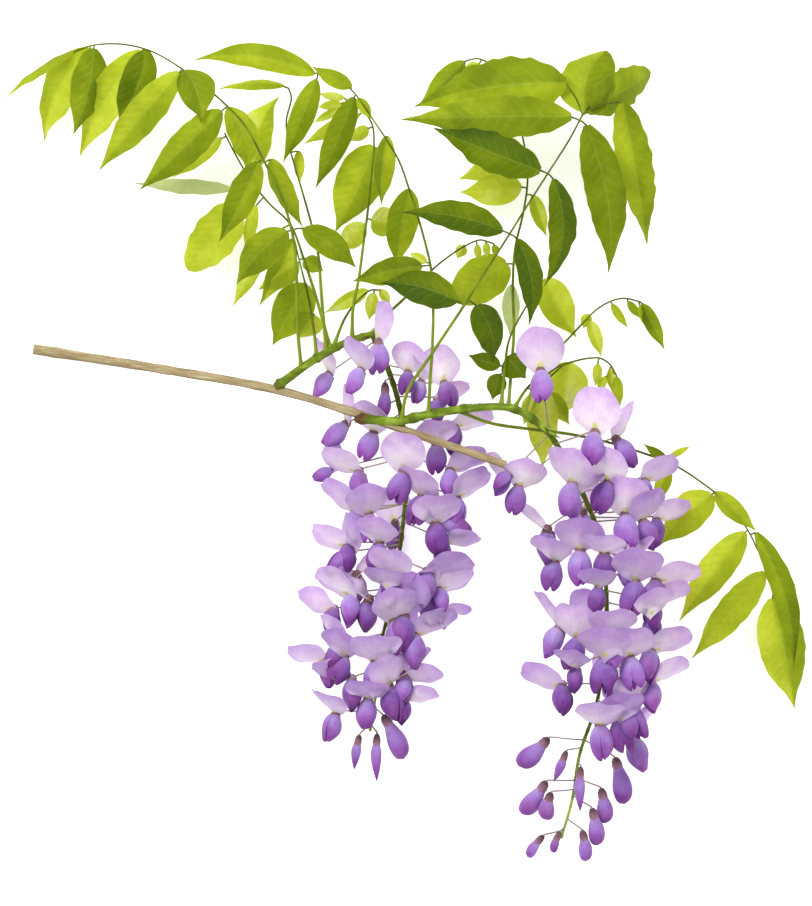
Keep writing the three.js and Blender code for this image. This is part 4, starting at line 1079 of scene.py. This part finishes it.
                # Over the wing where little of it is higher than the banner, and otherwise under it.
                pair = (number, other)
                high = chosen.setdefault(pair, sum(tops.values()) < -sum(unders.values()))
                moves = [0.0] * len(points)
                for i in tops:
                    moves[i] = max(0, tops[i] + DRAPE_GAP) if high else min(0, unders[i] - DRAPE_GAP)
                    moves[i] = max(-DRAPE_LIMIT, min(DRAPE_LIMIT, moves[i]))
                for point, move in zip(points, smoothed(moves)):
                    point.z += move

    def bud(self, calyx, tip, width, seat, draw):
        forward = (tip - calyx).normalized()
        length = (tip - calyx).length
        side = forward.cross(Vector((0, 0, 1))).normalized()
        up = side.cross(forward)
        self.pedicel(seat, calyx, forward, draw, 0.8)
        slim = length / width > SLIM_BUD
        bend = side * (length * (0.06 if slim else 0.10) * (1 if draw() > 0.5 else -1))
        rows = []
        for t in shares(18):
            widest = 0.4 if slim else 0.62
            past = max(0, (t - widest) / (1 - widest))
            club = lerp(0.5 if slim else 0.42, 1.0, smoothstep(t, 0.0, widest))
            club *= max(0.0, 1 - past ** (1.6 if slim else 2.6)) ** (0.9 if slim else 0.5)
            wide = width * 0.5 * max(club, 0.04)
            centre = calyx + forward * (length * (0.06 + 0.94 * t)) + bend * t * t
            row = []
            for k, turn in enumerate(turns(16)):
                crease = 1 - 0.12 * math.exp(-(((turn - math.pi / 2) / 0.3) ** 2))
                crease += 0.03 * math.sin(3 * turn + 4 * t)
                out = side * math.cos(turn) + up * (0.9 * math.sin(turn))
                row.append((centre + out * (wide * crease), 0.1 + 0.9 * t, 0.5 + k * 0.5))
            rows.append(row)
        self.wings.cells(rows, ["along", "phase"], True, tone=0.25 + 0.4 * draw())
        tooth = lambda turn: 0.16 * math.cos(turn)
        cap_width = 1.1 + 0.16 * width
        tone = 0.8 + 0.2 * draw()
        self.cup(calyx, forward, side, up * 0.92, CAP_RINGS, CAP_LENGTH, cap_width, tooth, tone)


def smoothed(moves):
    """The moves of a banner's points, spread to their neighbours so that the petal stays even."""
    rings = len(moves) // SPOKES
    for _ in range(3):
        before = list(moves)
        moves[:SPOKES] = [sum(before[SPOKES:2 * SPOKES]) / SPOKES] * SPOKES
        for i in range(1, rings):
            for k in range(SPOKES):
                at = i * SPOKES + k
                near = [before[i * SPOKES + (k + 1) % SPOKES], before[i * SPOKES + (k - 1) % SPOKES],
                        before[at - SPOKES], before[min(i + 1, rings - 1) * SPOKES + k]]
                mean = (before[at] + sum(near)) / 5
                moves[at] = mean if abs(mean) > abs(before[at]) else before[at]
    return moves


def on_raceme(line, row, sign, reach):
    """A calyx as far above or below the axis as its pedicel allows, and the pedicel's seat."""
    plan = place([row[0], row[1], 0])
    axis = nearest_on(line, plan)
    beside = math.hypot(plan.x - axis.x, plan.y - axis.y)
    lift = 0.8 * math.sqrt(max(0, reach * reach - beside * beside))
    seat = nearest_on(line, Vector((axis.x, axis.y + min(SEAT_RISE, 0.25 * (beside + lift)), 0)))
    return Vector((plan.x, plan.y, axis.z + sign * lift)), seat


def raceme(side_name, axis_rows, flowers, buds, back, span, seed, shoots, ceiling):
    points = [place(row) for row in axis_rows]
    line = curve_through(points)
    node = "raceme_" + side_name
    made = Raceme()
    axis = evenly(curve_through([foot_on(shoots, points[0]), *points]), AXIS_STEPS)
    draw = draw_from(seed)
    swell = bumps(draw, 40, 0.16, 0.006)
    made.stalks.tube(axis, lambda t, turn: lerp(1.4, 0.62, t) * swell(t) * (1 + 0.06 * math.cos(5 * turn)),
                     10, 0)
    # The axis is dark green, and light green towards its young end.
    made.stalks.values["tone"] = [
        lerp(0.45, 0.05, smoothstep(t, 0.65, 0.95)) for t in made.stalks.values["along"]
    ]
    top, bottom = span

    def reach_at(down):
        return RACEME_REACH * (1 - 0.55 * smoothstep((down - top) / (bottom - top), 0.45, 1.1))

    for row in flowers:
        down = row[1]
        calyx, seat = on_raceme(line, row, 1, reach_at(down))
        calyx.z = row[7] if len(row) > 7 else min(calyx.z, ceiling(calyx))
        age = smoothstep((down - top) / (bottom - top), 0.0, 1.1)
        made.flower(calyx, seat, row[2:7], age, draw)
    for across, down, tip_across, tip_down, width in buds:
        calyx, seat = on_raceme(line, (across, down), 1, BUD_REACH)
        tip = place([tip_across, tip_down, calyx.z - BUD_DROOP])
        made.bud(calyx, tip, width, seat, draw)
    first, last, count = back
    back_draw = draw_from(count * 977 + 11)
    for i in range(count):
        down = lerp(first, last, i / (count - 1))
        sideways = (1 if i % 2 else -1) * (4 + 16 * back_draw())
        near = nearest_on(line, Vector((points[3].x, PLOT_MIDDLE_DOWN - down, 0)))
        across = near.x + PLOT_MIDDLE_ACROSS + sideways
        calyx, seat = on_raceme(line, (across, down), -1, reach_at(down) * 0.8)
        rise = -25 - 20 * back_draw()
        scale = 0.95 + 0.15 * back_draw()
        angles = (-90 + sideways * 1.6, rise, 0, scale, BACK_REFLEX)
        made.flower(calyx, seat, angles, 0.6, draw)
    made.drape()
    for sheets in (made.stalks, made.cups, made.banners, made.wings):
        sheets.keep_above(FLOOR_CLEARANCE)
    made.stalks.piece("axis_" + side_name, [SHOOT, PEDICEL], "shoot", node)
    made.cups.piece("calyces_" + side_name, [CALYX], "petal", node)
    made.banners.piece("banners_" + side_name, [BANNER], "petal", node)
    made.wings.piece("wings_" + side_name, [WING], "petal", node)


# ---- The branch ----

stem_line = curve_through([place(row) for row in STEM])
woody_stem()
shoot_lines = [
    shoot("fine_shoot_left", LEFT_SHOOT, "shoot_left", 311, 4, 0.75),
    shoot("fine_shoot_right", RIGHT_SHOOT, "shoot_right", 577, 6, 1),
]
for number, (leaf_name, (route, leaflets)) in enumerate(LEAVES.items()):
    leaf(leaf_name, route, leaflets, shoot_lines, LEAF_SEED + LEAF_SEED_STEP * number)


def under_stem(point):
    """How high a flower may stand where the stem passes over it."""
    seat = nearest_on(stem_line, point)
    beside = math.hypot(point.x - seat.x, point.y - seat.y)
    return seat.z - STEM_CLEARANCE if beside < STEM_CLEARANCE else math.inf


raceme("left", LEFT_AXIS, LEFT_FLOWERS, LEFT_BUDS, LEFT_BACK, (180, 380), 7177, shoot_lines, under_stem)
raceme("right", RIGHT_AXIS, RIGHT_FLOWERS, RIGHT_BUDS, RIGHT_BACK, (215, 410), 9091, shoot_lines,
       lambda point: math.inf)

# ---- Floor, lights and camera ----

FLOOR_HALF = 4  # metres
FLOOR_GLOW = 0.45
SKY_STRENGTH = 0.75


def stage_floor():
    mesh = bpy.data.meshes.new("floor")
    corners = [(x * FLOOR_HALF, y * FLOOR_HALF, 0) for x, y in ((-1, -1), (1, -1), (1, 1), (-1, 1))]
    mesh.from_pydata(corners, [], [(0, 1, 2, 3)])
    # A light table: it shines a little by itself, so it stays white under the branch.
    look = Look("pale_floor", 0.9, Emission_Color=(1, 1, 1), Emission_Strength=FLOOR_GLOW)
    pale = look.mix(look.between(look.noise(4), 0.3, 0.7), (0.93, 0.93, 0.93), (0.95, 0.95, 0.95))
    mesh.materials.append(look.finish(pale))
    floor = bpy.data.objects.new("floor", mesh)
    bpy.context.scene.collection.objects.link(floor)


def soft_light(name, place_m, aim, size, power):
    light = bpy.data.lights.new(name, "AREA")
    light.shape = "DISK"
    light.size = size
    light.energy = power
    lamp = bpy.data.objects.new(name, light)
    lamp.location = place_m
    lamp.rotation_euler = (Vector(aim) - Vector(place_m)).to_track_quat("-Z", "Y").to_euler()
    bpy.context.scene.collection.objects.link(lamp)


stage_floor()
soft_light("key", (-0.7, 1.0, 1.5), (0, 0, 0), 1.0, 30)
soft_light("fill", (0.9, -0.8, 1.5), (0, 0, 0), 1.8, 7)
world = bpy.data.worlds.new("studio")
world.use_nodes = True
world.node_tree.nodes["Background"].inputs["Color"].default_value = (1, 1, 1, 1)
world.node_tree.nodes["Background"].inputs["Strength"].default_value = SKY_STRENGTH
bpy.context.scene.world = world
bpy.context.scene.view_settings.view_transform = "Standard"

CAMERA_DISTANCE = 6.0
CAMERA_AIM = 0.04  # the height that the distance is measured from
VIEW_HEIGHT = 0.453  # what the photo's height spans at that height, in metres
CAMERA_SHIFT = 0.0005  # one pixel of the photo, across and down
SENSOR_HEIGHT = 36
camera_data = bpy.data.cameras.new("camera")
camera_data.sensor_fit = "VERTICAL"
camera_data.sensor_height = SENSOR_HEIGHT
camera_data.lens = SENSOR_HEIGHT * CAMERA_DISTANCE / VIEW_HEIGHT
camera_data.clip_end = 50
camera = bpy.data.objects.new("camera", camera_data)
camera.location = (CAMERA_SHIFT, -CAMERA_SHIFT, CAMERA_DISTANCE + CAMERA_AIM)
bpy.context.scene.collection.objects.link(camera)
bpy.context.scene.camera = camera
